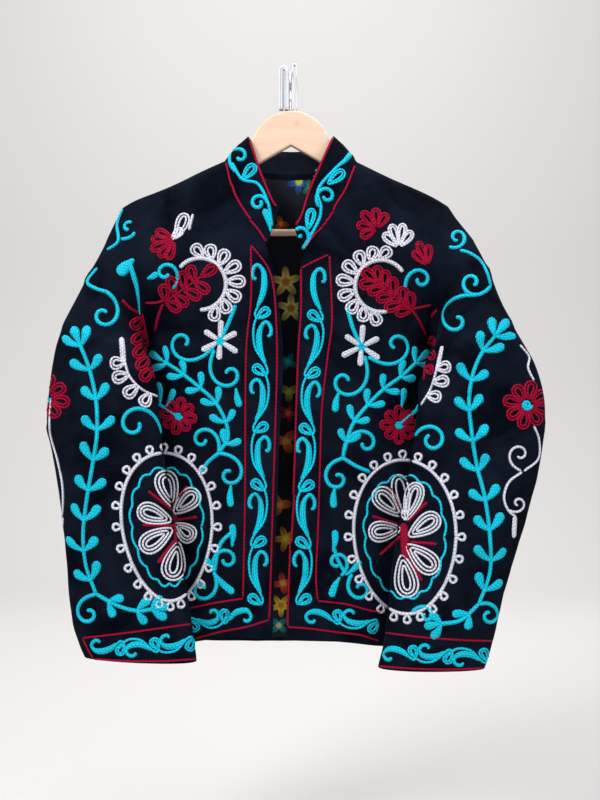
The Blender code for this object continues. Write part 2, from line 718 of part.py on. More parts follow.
points, faces = make_wall(lining_face(near_face), lining_face(far_face), False)
make_object("lining_back", points, faces, LINING, 0.7)


def rings_to_solid(rings):
    """Points and faces of a closed solid through rings of the same number of points."""
    count = len(rings[0])
    points = [p for ring in rings for p in ring]
    faces = []
    for i in range(len(rings) - 1):
        for j in range(count):
            k = (j + 1) % count
            faces.append((i * count + j, i * count + k, (i + 1) * count + k, (i + 1) * count + j))
    faces.append(tuple(range(count)))
    faces.append(tuple((len(rings) - 1) * count + j for j in reversed(range(count))))
    return points, faces


def rounded_box(width, top, bottom, radius):
    """A rounded rectangle in depth and height, as (depth, height) pairs."""
    corners = [(-1, 1, 90), (1, 1, 0), (1, -1, -90), (-1, -1, -180)]
    ring = []
    for side, up, start in corners:
        cy = side * (width / 2 - radius)
        cz = top - radius if up > 0 else bottom + radius
        for k in range(4):
            angle = math.radians(start + (90 - 30 * k))
            ring.append((cy + radius * math.cos(angle), cz + radius * math.sin(angle)))
    return ring


rings = []
for sign in (-1, 1):
    table = HANGER_OUTLINE[:0:-1] if sign < 0 else HANGER_OUTLINE
    for distance, top, bottom in table:
        radius = HANGER_ROUND if distance < HANGER_CHEEK else HANGER_END_ROUND
        radius = min(radius, (top - bottom) / 2 - HANGER_FLAT)
        x = HANGER_MIDDLE + sign * distance
        rings.append([(x, y, z) for y, z in rounded_box(HANGER_THICKNESS, top, bottom, radius)])
points, faces = rings_to_solid(rings)
make_object("hanger_wood", points, faces, WOOD, 0.5)

bar_rings = []
for x, radius in (
    (-BAR_END, BAR_RADIUS - BAR_CHAMFER), (-BAR_END + BAR_CHAMFER, BAR_RADIUS),
    (BAR_END - BAR_CHAMFER, BAR_RADIUS), (BAR_END, BAR_RADIUS - BAR_CHAMFER),
):
    bar_rings.append([
        (HANGER_MIDDLE + x, radius * math.cos(2 * math.pi * k / BAR_SIDES),
         BAR_HEIGHT + radius * math.sin(2 * math.pi * k / BAR_SIDES))
        for k in range(BAR_SIDES)
    ])
points, faces = rings_to_solid(bar_rings)
make_object("hanger_bar", points, faces, WOOD, 0.5)

# The hook: a straight shank, a bend to the back, then an arc over the top to the front
hook_middle = WIRE_RADIUS - HOOK_RADIUS
path = list(HOOK_SHANK)
for degrees in HOOK_ARC:
    angle = math.radians(degrees)
    path.append((HOOK_RADIUS * math.cos(angle), hook_middle + HOOK_RADIUS * math.sin(angle)))
wire_rings = []
for k, (y, z) in enumerate(path):
    before, after = path[max(k - 1, 0)], path[min(k + 1, len(path) - 1)]
    way = unit((0.0, after[0] - before[0], after[1] - before[1]))
    aside = cross(way, (1.0, 0.0, 0.0))
    wire_rings.append([
        add(add((0.0, y, z), (1.0, 0.0, 0.0), WIRE_RADIUS * math.cos(2 * math.pi * n / WIRE_SIDES)),
            aside, WIRE_RADIUS * math.sin(2 * math.pi * n / WIRE_SIDES))
        for n in range(WIRE_SIDES)
    ])
points, faces = rings_to_solid(wire_rings)
make_object("hanger_hook", points, faces, STEEL, 0.3, 1.0)

for name, table in (("cord_skein_right", CORD_LEFT_SIDE), ("cord_skein_left", CORD_RIGHT_SIDE)):
    cord_rings = []
    for height, start, end, thick in table:
        ring = []
        for k in range(CORD_SIDES):
            turn = 2 * math.pi * k / CORD_SIDES
            c, s = math.cos(turn), math.sin(turn)
            long = math.copysign(abs(c) ** CORD_POWER, c)
            flat = math.copysign(abs(s) ** CORD_POWER, s)
            ring.append(((start + end) / 2 + (end - start) / 2 * long, thick * flat, height))
        cord_rings.append(ring)
    points, faces = rings_to_solid(cord_rings)
    make_object(name, points, faces, CORD, 0.85)
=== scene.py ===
import bpy, bmesh, cmath, math, random
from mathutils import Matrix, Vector, noise
from mathutils.bvhtree import BVHTree


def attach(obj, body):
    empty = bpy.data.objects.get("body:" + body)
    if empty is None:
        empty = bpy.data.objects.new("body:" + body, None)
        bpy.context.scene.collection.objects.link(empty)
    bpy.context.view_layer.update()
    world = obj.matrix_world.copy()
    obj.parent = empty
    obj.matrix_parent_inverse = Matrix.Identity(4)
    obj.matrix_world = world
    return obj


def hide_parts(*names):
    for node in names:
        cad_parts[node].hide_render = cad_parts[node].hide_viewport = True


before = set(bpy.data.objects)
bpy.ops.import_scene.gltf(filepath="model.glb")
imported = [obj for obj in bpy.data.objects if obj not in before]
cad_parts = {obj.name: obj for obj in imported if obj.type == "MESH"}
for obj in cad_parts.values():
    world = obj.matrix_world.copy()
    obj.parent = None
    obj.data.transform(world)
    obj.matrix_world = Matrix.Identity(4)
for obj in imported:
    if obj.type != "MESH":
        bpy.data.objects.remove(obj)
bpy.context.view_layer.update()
body = "root"
print("frame loaded")

# Camera and light
photo = {
    "wide": 600, "tall": 800,      # pixels
    "metresPerPixel": 0.00125,     # on the plane of the fronts
    "middle": (0.0125, -0.05, -0.4225),
    "distance": 1.4, "sensor": 36, "view": "Standard",
}
studio = {
    "floorHeight": -1.02, "floorFront": -5.0, "wallBack": 3.2, "wallTop": 4.0, "sweep": 1.2,
    "sweepSteps": 12, "halfWidth": 5.0, "paper": (0.56, 0.55, 0.535, 1), "roughness": 0.9,
    "air": (0.93, 0.95, 1.0, 1), "airStrength": 0.40,
    # name, place, aimed at, size, power
    "lamps": [
        ("keyLamp", (-1.7, -1.9, 1.5), (0, 0, -0.4), 1.3, 84),
        ("fillLamp", (1.9, -1.9, 0.3), (0, 0, -0.4), 1.8, 30),
        ("topLamp", (0.1, -0.2, 2.0), (0, 0, -0.4), 1.6, 30),
        ("backLamp", (0.6, 1.9, 1.2), (0, 0.1, -0.4), 1.2, 16),
        ("wallLamp", (0.0, 0.9, 2.3), (0, 3.2, -0.2), 1.6, 60),
    ],
}


def addObject(name, data):
    piece = bpy.data.objects.new(name, data)
    bpy.context.scene.collection.objects.link(piece)
    return piece


def pick(piece):
    bpy.ops.object.select_all(action="DESELECT")
    bpy.context.view_layer.objects.active = piece
    piece.select_set(True)


def setCamera():
    lens = bpy.data.cameras.new("photoCamera")
    lens.sensor_width = photo["sensor"]
    lens.lens = photo["sensor"] * photo["distance"] / (photo["tall"] * photo["metresPerPixel"])
    camera = addObject("photoCamera", lens)
    camera.location = Vector(photo["middle"]) - Vector((0, photo["distance"], 0))
    camera.rotation_euler = (math.pi / 2, 0, 0)
    bpy.context.scene.camera = camera
    bpy.context.scene.view_settings.view_transform = photo["view"]
    return camera


# Floor and wall in one sheet of paper with a round bend
def setPaper():
    s = studio
    bpy.ops.object.select_all(action="DESELECT")
    bpy.ops.mesh.primitive_plane_add(size=1)
    paper = bpy.context.object
    paper.name = "paperSweep"
    low, back, bend, steps = s["floorHeight"], s["wallBack"], s["sweep"], s["sweepSteps"]
    profile = [(s["floorFront"], low)]
    for k in range(steps):
        turn = math.pi / 2 * k / steps
        profile.append((back - bend + bend * math.sin(turn), low + bend - bend * math.cos(turn)))
    profile += [(back, low + bend), (back, s["wallTop"])]
    n = len(profile)
    mesh = paper.data
    mesh.clear_geometry()
    mesh.from_pydata([(x, y, z) for x in (-s["halfWidth"], s["halfWidth"]) for y, z in profile],
                     [], [(k, n + k, n + k + 1, k + 1) for k in range(n - 1)])
    mesh.shade_smooth()
    finish = bpy.data.materials.new("paperMatt")
    finish.use_nodes = True
    shader = finish.node_tree.nodes["Principled BSDF"]
    shader.inputs["Base Color"].default_value = s["paper"]
    shader.inputs["Roughness"].default_value = s["roughness"]
    mesh.materials.append(finish)


def setLamps():
    for name, place, target, size, power in studio["lamps"]:
        light = bpy.data.lights.new(name, "AREA")
        light.shape = "DISK"
        light.size = size
        light.energy = power
        lamp = addObject(name, light)
        lamp.location = place
        way = Vector(target) - lamp.location
        lamp.rotation_euler = way.to_track_quat("-Z", "Y").to_euler()
    world = bpy.data.worlds.new("softAir")
    bpy.context.scene.world = world
    world.use_nodes = True
    air = world.node_tree.nodes["Background"]
    air.inputs["Color"].default_value = studio["air"]
    air.inputs["Strength"].default_value = studio["airStrength"]


camera = setCamera()
setPaper()
setLamps()
print("camera and studio set")


# Place on the plane of the fronts for a pixel of the photo
def planePoint(x, y):
    scale, middle = photo["metresPerPixel"], photo["middle"]
    return Vector((middle[0] + (x - photo["wide"] / 2) * scale, middle[1],
                   middle[2] + (photo["tall"] / 2 - y) * scale))


# Materials
def newNode(tree, kind, inputs=None, **settings):
    node = tree.nodes.new(kind)
    for key, value in settings.items():
        setattr(node, key, value)
    for key, value in (inputs or {}).items():
        feed(tree, node.inputs[key], value)
    return node


def feed(tree, socket, value):
    if isinstance(value, bpy.types.NodeSocket):
        tree.links.new(value, socket)
    else:
        socket.default_value = value


def calc(tree, operation, a, b=0.0, c=0.0):
    return newNode(tree, "ShaderNodeMath", {0: a, 1: b, 2: c}, operation=operation).outputs[0]


def mixColour(tree, share, a, b, blend="MIX"):
    node = newNode(tree, "ShaderNodeMix", data_type="RGBA", blend_type=blend)
    for key, value in (("Factor", share), ("A", a), ("B", b)):
        feed(tree, next(k for k in node.inputs if k.name == key and k.enabled), value)
    return next(k for k in node.outputs if k.enabled)


# A value brought from one span to another
def respan(tree, value, low, high, toLow=0.0, toHigh=1.0):
    return newNode(tree, "ShaderNodeMapRange", {
        "Value": value, "From Min": low, "From Max": high, "To Min": toLow,
        "To Max": toHigh}).outputs[0]


def speckle(tree, place, scale, detail, **more):
    inputs = {"Vector": place, "Scale": scale, "Detail": detail}
    inputs.update({key.capitalize(): value for key, value in more.items()})
    return newNode(tree, "ShaderNodeTexNoise", inputs).outputs["Fac"]


# A material with its constant settings, its node tree, its shader's sockets and its place
def newMaterial(name, settings):
    material = bpy.data.materials.new(name)
    material.use_nodes = True
    tree = material.node_tree
    sockets = tree.nodes["Principled BSDF"].inputs
    for key, value in settings.items():
        sockets[key].default_value = value
    return material, tree, sockets, newNode(tree, "ShaderNodeTexCoord").outputs["Object"]


def addBump(tree, sockets, height, strength, depth):
    bump = newNode(tree, "ShaderNodeBump", {
        "Height": height, "Strength": strength, "Distance": depth})
    feed(tree, sockets["Normal"], bump.outputs[0])


def newGroup(name, inputs, outputs):
    group = bpy.data.node_groups.new(name, "ShaderNodeTree")
    for label, kind in inputs.items():
        group.interface.new_socket(label, in_out="INPUT", socket_type="NodeSocket" + kind)
    for label in outputs:
        group.interface.new_socket(label, in_out="OUTPUT", socket_type="NodeSocketFloat")
    return (group, group.nodes.new("NodeGroupInput").outputs,
            group.nodes.new("NodeGroupOutput").inputs)


def fillGroup(tree, group, inputs):
    return newNode(tree, "ShaderNodeGroup", inputs, node_tree=group).outputs


# Brushed patches and fine nap that the velvet and the lining share
def makeNapGroup():
    group, start, end = newGroup(
        "brushedNap", {"Vector": "Vector", "Patch Scale": "Float", "Nap Scale": "Float"},
        ("Patches", "Nap"))
    patches = speckle(group, start["Vector"], start["Patch Scale"], 4.0, roughness=0.6,
                      distortion=0.6)
    feed(group, end["Patches"], respan(group, patches, 0.35, 0.68))
    feed(group, end["Nap"], speckle(group, start["Vector"], start["Nap Scale"], 2.0,
                                    roughness=0.7))
    return group


chainShape = {
    "slant": 0.55, "shift": 0.37, "fullness": 0.55, "least": 0.02,
    # heights over which the painted shade of the low places fades out
    "gap": (0.12, 0.62), "fraySize": 26.0, "fray": 0.22,
}


# Rows of chain stitch from a piece's own map: along in x, across in y, in centimetres. Besides the
# height it gives a mask of painted shade where the links and rows sink low
def makeChainGroup():
    shape = chainShape
    group, start, end = newGroup(
        "chainStitch", {"Vector": "Vector", "Row Width": "Float", "Link Length": "Float"},
        ("Height", "ShadeBetweenLinks", "Fray"))

    def run(*terms):
        return calc(group, *terms)

    split = newNode(group, "ShaderNodeSeparateXYZ", {0: start["Vector"]}).outputs
    row = run("ADD", run("DIVIDE", split["Y"], start["Row Width"]), 0.5)
    aside = run("ABSOLUTE", run("MULTIPLY_ADD", run("FRACT", row), 2.0, -1.0))
    link = run("DIVIDE", split["X"], start["Link Length"])
    link = run("ADD", link, run("MULTIPLY", aside, shape["slant"]))
    link = run("ADD", link, run("MULTIPLY", run("FLOOR", row), shape["shift"]))
    crown = run("SINE", run("MULTIPLY", run("FRACT", link), math.pi))
    inside = run("SUBTRACT", 1.0, run("MULTIPLY", aside, aside))
    high = run("MULTIPLY", run("POWER", crown, shape["fullness"]),
               run("SQRT", run("MAXIMUM", inside, shape["least"])))
    fray = speckle(group, start["Vector"], shape["fraySize"], 3.0)
    feed(group, end["Height"], run("ADD", high, run("MULTIPLY", fray, shape["fray"])))
    # painted shade: full where the links and rows sink low, none on their crowns
    feed(group, end["ShadeBetweenLinks"], respan(group, high, *shape["gap"], 1.0, 0.0))
    feed(group, end["Fray"], fray)
    return group


bloomShape = {
    "notch": 0.28, "reach": 0.68, "edge": 0.06, "core": (0.18, 0.34), "shade": (0.2, 1.1),
    "vein": 0.3,
}


# One printed flower in the plane of the back, with its own petals and a core
def makeBloomGroup():
    shape = bloomShape
    group, start, end = newGroup(
        "printedBloom", {"Vector": "Vector", "Centre": "Vector", "Size": "Float",
                         "Turn": "Float", "Petals": "Float"}, ("Petal", "Core", "Shade"))

    def run(*terms):
        return calc(group, *terms)

    off = newNode(group, "ShaderNodeVectorMath", {0: start["Vector"], 1: start["Centre"]},
                  operation="SUBTRACT")
    split = newNode(group, "ShaderNodeSeparateXYZ", {0: off.outputs[0]}).outputs
    x, z = (run("DIVIDE", split[key], start["Size"]) for key in ("X", "Z"))
    reach = run("SQRT", run("ADD", run("MULTIPLY", x, x), run("MULTIPLY", z, z)))
    turn = run("ADD", run("ARCTAN2", z, x), start["Turn"])
    wave = run("COSINE", run("MULTIPLY", turn, start["Petals"]))
    edge = run("MULTIPLY_ADD", wave, shape["notch"], shape["reach"])
    feed(group, end["Petal"], respan(group, run("SUBTRACT", edge, reach), -shape["edge"],
                                     shape["edge"]))
    feed(group, end["Core"], respan(group, reach, *shape["core"], 1.0, 0.0))
    feed(group, end["Shade"], respan(group, run("MULTIPLY_ADD", wave, shape["vein"], reach),
                                     *shape["shade"]))
    return group


napGroup, chainGroup, bloomGroup = makeNapGroup(), makeChainGroup(), makeBloomGroup()

velvetLook = {
    "deep": (0.0005, 0.0013, 0.0042, 1), "brushed": (0.0046, 0.0078, 0.0160, 1),
    "roughness": (0.78, 0.95), "patchScale": 15.0, "napScale": 1500.0, "napDepth": 0.0006,
    "settings": {
        "Sheen Weight": 0.12, "Sheen Roughness": 0.20, "Sheen Tint": (0.28, 0.44, 0.68, 1),
        "Specular IOR Level": 0.035,
    },
}


def makeVelvet():
    look = velvetLook
    material, tree, sockets, place = newMaterial("nightVelvet", look["settings"])
    nap = fillGroup(tree, napGroup, {
        "Vector": place, "Patch Scale": look["patchScale"], "Nap Scale": look["napScale"]})
    feed(tree, sockets["Base Color"], mixColour(tree, nap["Patches"], look["deep"],
                                                look["brushed"]))
    feed(tree, sockets["Roughness"], respan(tree, nap["Nap"], 0.0, 1.0, *look["roughness"]))
    addBump(tree, sockets, nap["Nap"], 0.5, look["napDepth"])
    return material


threadLook = {
    # colour of the thread, and its darker copy for the painted shade between the links
    "turquoise": ((0.004, 0.60, 0.79, 1), (0.0, 0.24, 0.37, 1)),
    "white": ((0.74, 0.74, 0.83, 1), (0.30, 0.30, 0.37, 1)),
    "crimson": ((0.34, 0.0, 0.028, 1), (0.10, 0.0, 0.010, 1)),
    # shares of the colour in a worn and in a fresh batch
    "batches": ((0.80, 0.80, 0.80, 1), (1.12, 1.12, 1.12, 1)), "batchScale": 22.0,
    "rowWidth": 0.30, "linkLength": 0.46, "depth": 0.0011, "roughness": (0.55, 0.8),
    "settings": {"Specular IOR Level": 0.12},
}


def makeThread(name):
    look = threadLook
    material, tree, sockets, place = newMaterial(name + "Thread", look["settings"])
    chain = fillGroup(tree, chainGroup, {
        "Vector": newNode(tree, "ShaderNodeUVMap", uv_map="stitchMap").outputs[0],
        "Row Width": look["rowWidth"], "Link Length": look["linkLength"]})
    batch = speckle(tree, place, look["batchScale"], 2.0)
    # the thread's colour darkens to painted shade between the links
    colour = mixColour(tree, chain["ShadeBetweenLinks"], *look[name])
    colour = mixColour(tree, 1.0, colour, mixColour(tree, batch, *look["batches"]), "MULTIPLY")
    feed(tree, sockets["Base Color"], colour)
    feed(tree, sockets["Roughness"], respan(tree, chain["Fray"], 0.0, 1.0, *look["roughness"]))
    addBump(tree, sockets, chain["Height"], 0.9, look["depth"])
    return material


liningLook = {
    "cloth": (0.006, 0.008, 0.015, 1), "worn": (0.014, 0.017, 0.028, 1), "depth": 0.045,
    "patchScale": 14.0, "napScale": 2200.0, "weaveDepth": 0.0003, "shade": 0.35,
    "settings": {"Roughness": 0.7, "Specular IOR Level": 0.15},
    # photo x, photo y, size in metres, turn, petals, petal colour, core colour
    "blooms": [
        (299, 186, 0.017, 0.4, 5, (0.02, 0.12, 0.42), (0.55, 0.55, 0.03)),
        (311, 192, 0.013, 1.1, 4, (0.04, 0.30, 0.16), (0.60, 0.48, 0.05)),
        (281, 226, 0.011, 0.2, 3, (0.62, 0.12, 0.02), (0.75, 0.30, 0.05)),
        (286, 283, 0.021, 0.9, 5, (1.00, 0.80, 0.20), (0.60, 0.20, 0.05)),
        (291, 309, 0.020, 2.2, 5, (1.00, 0.86, 0.24), (0.50, 0.20, 0.05)),
        (288, 362, 0.013, 0.5, 4, (0.01, 0.34, 0.44), (0.02, 0.60, 0.62)),
        (289, 392, 0.014, 1.6, 3, (0.40, 0.46, 0.08), (0.70, 0.62, 0.10)),
        (288, 413, 0.013, 0.1, 5, (0.62, 0.05, 0.04), (0.80, 0.20, 0.06)),
        (286, 441, 0.017, 1.2, 3, (1.00, 0.18, 0.05), (0.95, 0.50, 0.10)),
        (280, 504, 0.016, 2.0, 3, (1.00, 0.26, 0.06), (1.00, 0.50, 0.10)),
        (286, 538, 0.018, 0.6, 5, (1.00, 0.42, 0.05), (1.00, 0.76, 0.10)),
        (283, 582, 0.015, 1.4, 4, (0.86, 0.10, 0.05), (0.95, 0.42, 0.06)),
        (281, 604, 0.016, 0.3, 5, (0.85, 0.58, 0.04), (0.55, 0.18, 0.02)),
        (279, 624, 0.013, 0.8, 4, (0.01, 0.26, 0.30), (0.55, 0.45, 0.08)),
    ],
}


def makeLining():
    look = liningLook
    material, tree, sockets, place = newMaterial("printedLining", look["settings"])
    nap = fillGroup(tree, napGroup, {
        "Vector": place, "Patch Scale": look["patchScale"], "Nap Scale": look["napScale"]})
    colour = mixColour(tree, nap["Patches"], look["cloth"], look["worn"])
    eye = camera.location
    reach = (photo["distance"] + look["depth"] - photo["middle"][1]) / photo["distance"]
    for x, y, size, turn, petals, petal, core in look["blooms"]:
        centre = eye + (planePoint(x, y) - eye) * reach
        bloom = fillGroup(tree, bloomGroup, {
            "Vector": place, "Centre": (centre.x, 0.0, centre.z), "Size": size, "Turn": turn,
            "Petals": float(petals)})
        shade = [k * look["shade"] for k in petal]
        tone = mixColour(tree, bloom["Shade"], (*petal, 1), (*shade, 1))
        tone = mixColour(tree, bloom["Core"], tone, (*core, 1))
        colour = mixColour(tree, bloom["Petal"], colour, tone)
    feed(tree, sockets["Base Color"], colour)
    addBump(tree, sockets, nap["Nap"], 0.3, look["weaveDepth"])
    return material


woodLook = {
    "pale": (0.77, 0.54, 0.40, 1), "grain": (0.64, 0.40, 0.26, 1),
    "knot": (0.52, 0.29, 0.17, 1), "knotPlace": (0.0085, -0.006, -0.066), "knotSize": 0.006,
    "knotStrength": 0.5, "stretch": (7.0, 60.0, 75.0), "lines": (0.42, 0.72),
    "lineStrength": 0.55, "roughness": (0.34, 0.5), "depth": 0.0003, "coat": 0.15,
    # the fold of the notch: its x, and the height that it stays under
    "notch": (0.0009, -0.08), "sharpAngle": 32,
}


def makeWood():
    look = woodLook
    material, tree, sockets, place = newMaterial("paleHangerWood", {"Coat Weight": look["coat"]})
    along = newNode(tree, "ShaderNodeMapping", {"Vector": place, "Scale": look["stretch"]})
    grain = speckle(tree, along.outputs[0], 1.6, 5.0, distortion=0.8)
    fine = speckle(tree, along.outputs[0], 9.0, 2.0)
    lines = calc(tree, "MULTIPLY", respan(tree, grain, *look["lines"]), look["lineStrength"])
    away = newNode(tree, "ShaderNodeVectorMath", {0: place, 1: look["knotPlace"]},
                   operation="DISTANCE").outputs["Value"]
    knot = respan(tree, away, 0.0, look["knotSize"], look["knotStrength"], 0.0)
    colour = mixColour(tree, lines, look["pale"], look["grain"])
    feed(tree, sockets["Base Color"], mixColour(tree, knot, colour, look["knot"]))
    feed(tree, sockets["Roughness"], respan(tree, fine, 0.0, 1.0, *look["roughness"]))
    addBump(tree, sockets, fine, 0.25, look["depth"])
    return material


steelLook = {
    "dull": (0.42, 0.42, 0.44, 1), "bright": (0.66, 0.66, 0.68, 1), "scale": 300.0,
    "roughness": (0.22, 0.42),
}


def makeSteel():
    look = steelLook
    material, tree, sockets, place = newMaterial("hookSteel", {"Metallic": 1.0})
    scuff = speckle(tree, place, look["scale"], 3.0)
    feed(tree, sockets["Base Color"], mixColour(tree, scuff, look["dull"], look["bright"]))
    feed(tree, sockets["Roughness"], respan(tree, scuff, 0.0, 1.0, *look["roughness"]))
    return material


cordFinish = {
    # colour on the ridges of the twist, and its darker copy for the painted shade in the grooves
    "greyCord": ((0.36, 0.36, 0.45, 1), (0.17, 0.17, 0.24, 1)),
    "whiteCord": ((0.88, 0.89, 0.93, 1), (0.55, 0.56, 0.62, 1)),
    "twist": 260.0, "waver": 3.0, "depth": 0.0004, "roughness": 0.7,
}


def makeCord(name):
    look = cordFinish
    material, tree, sockets, place = newMaterial(name, {"Roughness": look["roughness"]})
    twist = newNode(tree, "ShaderNodeTexWave", {
        "Vector": place, "Scale": look["twist"], "Distortion": look["waver"]},
        bands_direction="DIAGONAL").outputs["Fac"]
    light, grooveShade = look[name]
    # painted shade: the grooves of the twist get the darker colour
    feed(tree, sockets["Base Color"], mixColour(tree, twist, grooveShade, light))
    addBump(tree, sockets, twist, 0.6, look["depth"])
    return material


velvet, lining, wood, steel = makeVelvet(), makeLining(), makeWood(), makeSteel()
greyCord, whiteCord = makeCord("greyCord"), makeCord("whiteCord")
threadMaterials = {name: makeThread(name) for name in ("turquoise", "white", "crimson")}
print("materials made")


# Cloth shells
# Creases on the body, seen from the front: x, z, x at the end, z at the end, half width, lift
bodyCreases = {
    "front_right": [
        (-100, -150, -172, -300, 9, 2.2), (-128, -158, -183, -262, 7, 1.8),
        (-84, -170, -168, -335, 10, -2.2), (-70, -230, -160, -372, 9, 1.4),
        (-175, -352, -138, -430, 9, 2.4), (-162, -372, -112, -520, 11, -1.8),
        (-34, -262, -22, -470, 9, 1.5), (-52, -330, -36, -590, 12, -1.5),
        (-120, -560, -132, -728, 12, 2.2), (-72, -610, -82, -726, 11, -2.0),
        (-30, -560, -34, -724, 9, 1.6), (-96, -420, -84, -560, 13, 1.2),
    ],
    "front_left": [
        (104, -155, 172, -300, 9, 2.2), (132, -165, 184, -268, 7, 1.8),
        (84, -176, 165, -340, 10, -2.2), (66, -236, 156, -376, 9, 1.4),
        (172, -358, 132, -436, 9, 2.4), (158, -380, 108, -520, 11, -1.8),
        (22, -270, 17, -480, 9, 1.5), (46, -330, 34, -590, 12, -1.5),
        (112, -560, 104, -730, 12, 2.2), (64, -610, 58, -728, 11, -2.0),
        (20, -560, 12, -724, 9, 1.6), (84, -430, 78, -570, 13, 1.2),
    ],
    "back": [
        (-150, -170, -70, -300, 10, 1.8), (150, -170, 74, -310, 10, 1.8),
        (-30, -150, -42, -330, 12, 1.5), (36, -150, 30, -340, 12, -1.5),
        (-95, -360, -112, -740, 15, 2.5), (20, -400, 30, -742, 14, 2.4),
        (96, -420, 112, -740, 15, -2.4), (-40, -470, -46, -742, 13, -2.0),
        (-165, -380, -120, -520, 11, -1.8), (164, -380, 126, -540, 11, 1.8),
    ],
}
bodyCreases["lining_back"] = bodyCreases["back"]
# Creases on a sleeve: height, turn in degrees (90 faces front, 180 inside), half length
# in degrees, half height, slant in metres per radian, lift
sleeveCreases = {
    "sleeve_right": [
        (-392, 140, 46, 6, -26, 2.4), (-418, 128, 40, 7, 20, -2.2), (-446, 60, 44, 8, 16, 2.2),
        (-474, 104, 48, 7, -18, 1.8), (-500, 76, 36, 8, 22, -1.8), (-352, 96, 34, 8, -34, 2.0),
        (-322, 120, 30, 7, -42, -2.0), (-556, 112, 44, 9, 24, 1.8), (-600, 66, 46, 9, -20, 1.6),
        (-640, 108, 40, 9, 18, -1.6), (-690, 70, 42, 9, 12, 1.5), (-270, 70, 26, 9, -50, 1.6),
        (-430, 236, 50, 9, 24, 2.0), (-500, 262, 46, 9, -22, -1.8), (-590, 250, 44, 10, 20, 1.8),
    ],
    "sleeve_left": [
        (-388, 138, 46, 6, -26, 2.4), (-412, 122, 40, 7, 20, -2.2), (-440, 58, 44, 8, 16, 2.2),
        (-470, 108, 48, 7, -18, 1.8), (-508, 72, 36, 8, 22, -1.8), (-346, 92, 34, 8, -34, 2.0),
        (-316, 118, 30, 7, -42, -2.0), (-548, 110, 44, 9, 24, 1.8), (-596, 62, 46, 9, -20, 1.6),
        (-646, 104, 40, 9, 18, -1.6), (-698, 68, 42, 9, 12, 1.5), (-264, 72, 26, 9, -50, 1.6),
        (-436, 240, 50, 9, 24, 2.0), (-506, 258, 46, 9, -22, -1.8), (-584, 252, 44, 10, 20, 1.8),
    ],
}
shellLook = {
    "smoothing": 2, "sharpAngle": 50, "merge": 2e-5, "joinTurn": 35, "joinShape": 50,
    "flutter": 0.0010, "flutterSize": 0.075, "flutterStretch": (1.0, 0.3, 0.6),
    "wrinkle": 0.0006, "wrinkleSize": 0.020, "slice": 0.02, "edgeCalm": 0.03, "swell": 0.0004,
    # height where the folds begin, and the length over which they grow
    "bodyCalm": (-0.16, 0.05), "sleeveCalm": (-0.21, 0.06),
    # half width and half depth for the degrees round a sleeve
    "sleeveHalf": (0.07, 0.026),
    # the back is let out at the underarm, outside a half width
    "underarm": -0.354, "underarmTall": 0.0075, "underarmWide": 0.0075,
    "underarmFrom": 0.16, "underarmFade": 0.015,
}
creaseShape = {
    # lift factor, sideways wander in millimetres and its pace, fades as pace and start
    "bodyLift": 1.8, "bodyWander": 5, "bodyPace": 3, "beyond": 0.2, "headFade": (4, 0.3),
    "tailFade": (3, 0.5),
    "sleeveLift": 2.1, "sleeveWander": 3, "sleevePace": 0.03, "sleeveReach": 2.2,
}
tiny = 1e-4


def ease(t):
    t = min(1.0, max(0.0, t))
    return t * t * (3 - 2 * t)


# Lift in metres at a place in millimetres, fading out towards the ends of each crease
def creaseLift(table, x, z):
    shape = creaseShape
    total = 0.0
    for x1, z1, x2, z2, width, lift in table:
        runX, runZ = x2 - x1, z2 - z1
        length = math.hypot(runX, runZ)
        part = ((x - x1) * runX + (z - z1) * runZ) / length / length
        if -shape["beyond"] < part < 1 + shape["beyond"]:
            wander = shape["bodyWander"] * noise.noise(Vector((x1, z1, part * shape["bodyPace"])))
            aside = ((x - x1) * runZ - (z - z1) * runX) / length + wander
            (headPace, headStart), (tailPace, tailStart) = shape["headFade"], shape["tailFade"]
            ends = ease(part * headPace + headStart) * ease((1 - part) * tailPace + tailStart)
            total += lift * ends * math.exp(-((aside / width) ** 2))
    return total * shape["bodyLift"] / 1000


def sleeveLift(table, height, degrees):
    shape = creaseShape
    total = 0.0
    for z, turn, reach, width, slant, lift in table:
        off = (degrees - turn + 180) % 360 - 180
        if abs(off) < shape["sleeveReach"] * reach:
            wander = shape["sleeveWander"] * noise.noise(Vector((z, turn, off * shape["sleevePace"])))
            line = z + slant * math.radians(off) + wander
            total += lift * math.exp(-((height - line) / width) ** 2 - (off / reach) ** 2)
    return total * shape["sleeveLift"] / 1000


# Lowest and highest x and y of a node at each height, read from its own points in slices
def sliceExtents(node):
    slices = {}
    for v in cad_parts[node].data.vertices:
        slices.setdefault(round(v.co.z / shellLook["slice"]), []).append(v.co)
    rows = []
    for key in sorted(slices):
        xs, ys = [p.x for p in slices[key]], [p.y for p in slices[key]]
        rows.append((key * shellLook["slice"], min(xs), max(xs), min(ys), max(ys)))
    return rows


def extentAt(rows, z):
    if z <= rows[0][0]:
        return rows[0][1:]
    for low, high in zip(rows, rows[1:]):
        if z <= high[0]:
            t = (z - low[0]) / (high[0] - low[0])
            return tuple(a + (b - a) * t for a, b in zip(low[1:], high[1:]))
    return rows[-1][1:]


# Whether an edge lies in the fold of the notch under the hanger's round top
def onNotch(node, edge):
    x, z = woodLook["notch"]
    return node == "hanger_wood" and all(
        abs(v.co.x - x) < tiny and v.co.z < z for v in edge.verts)


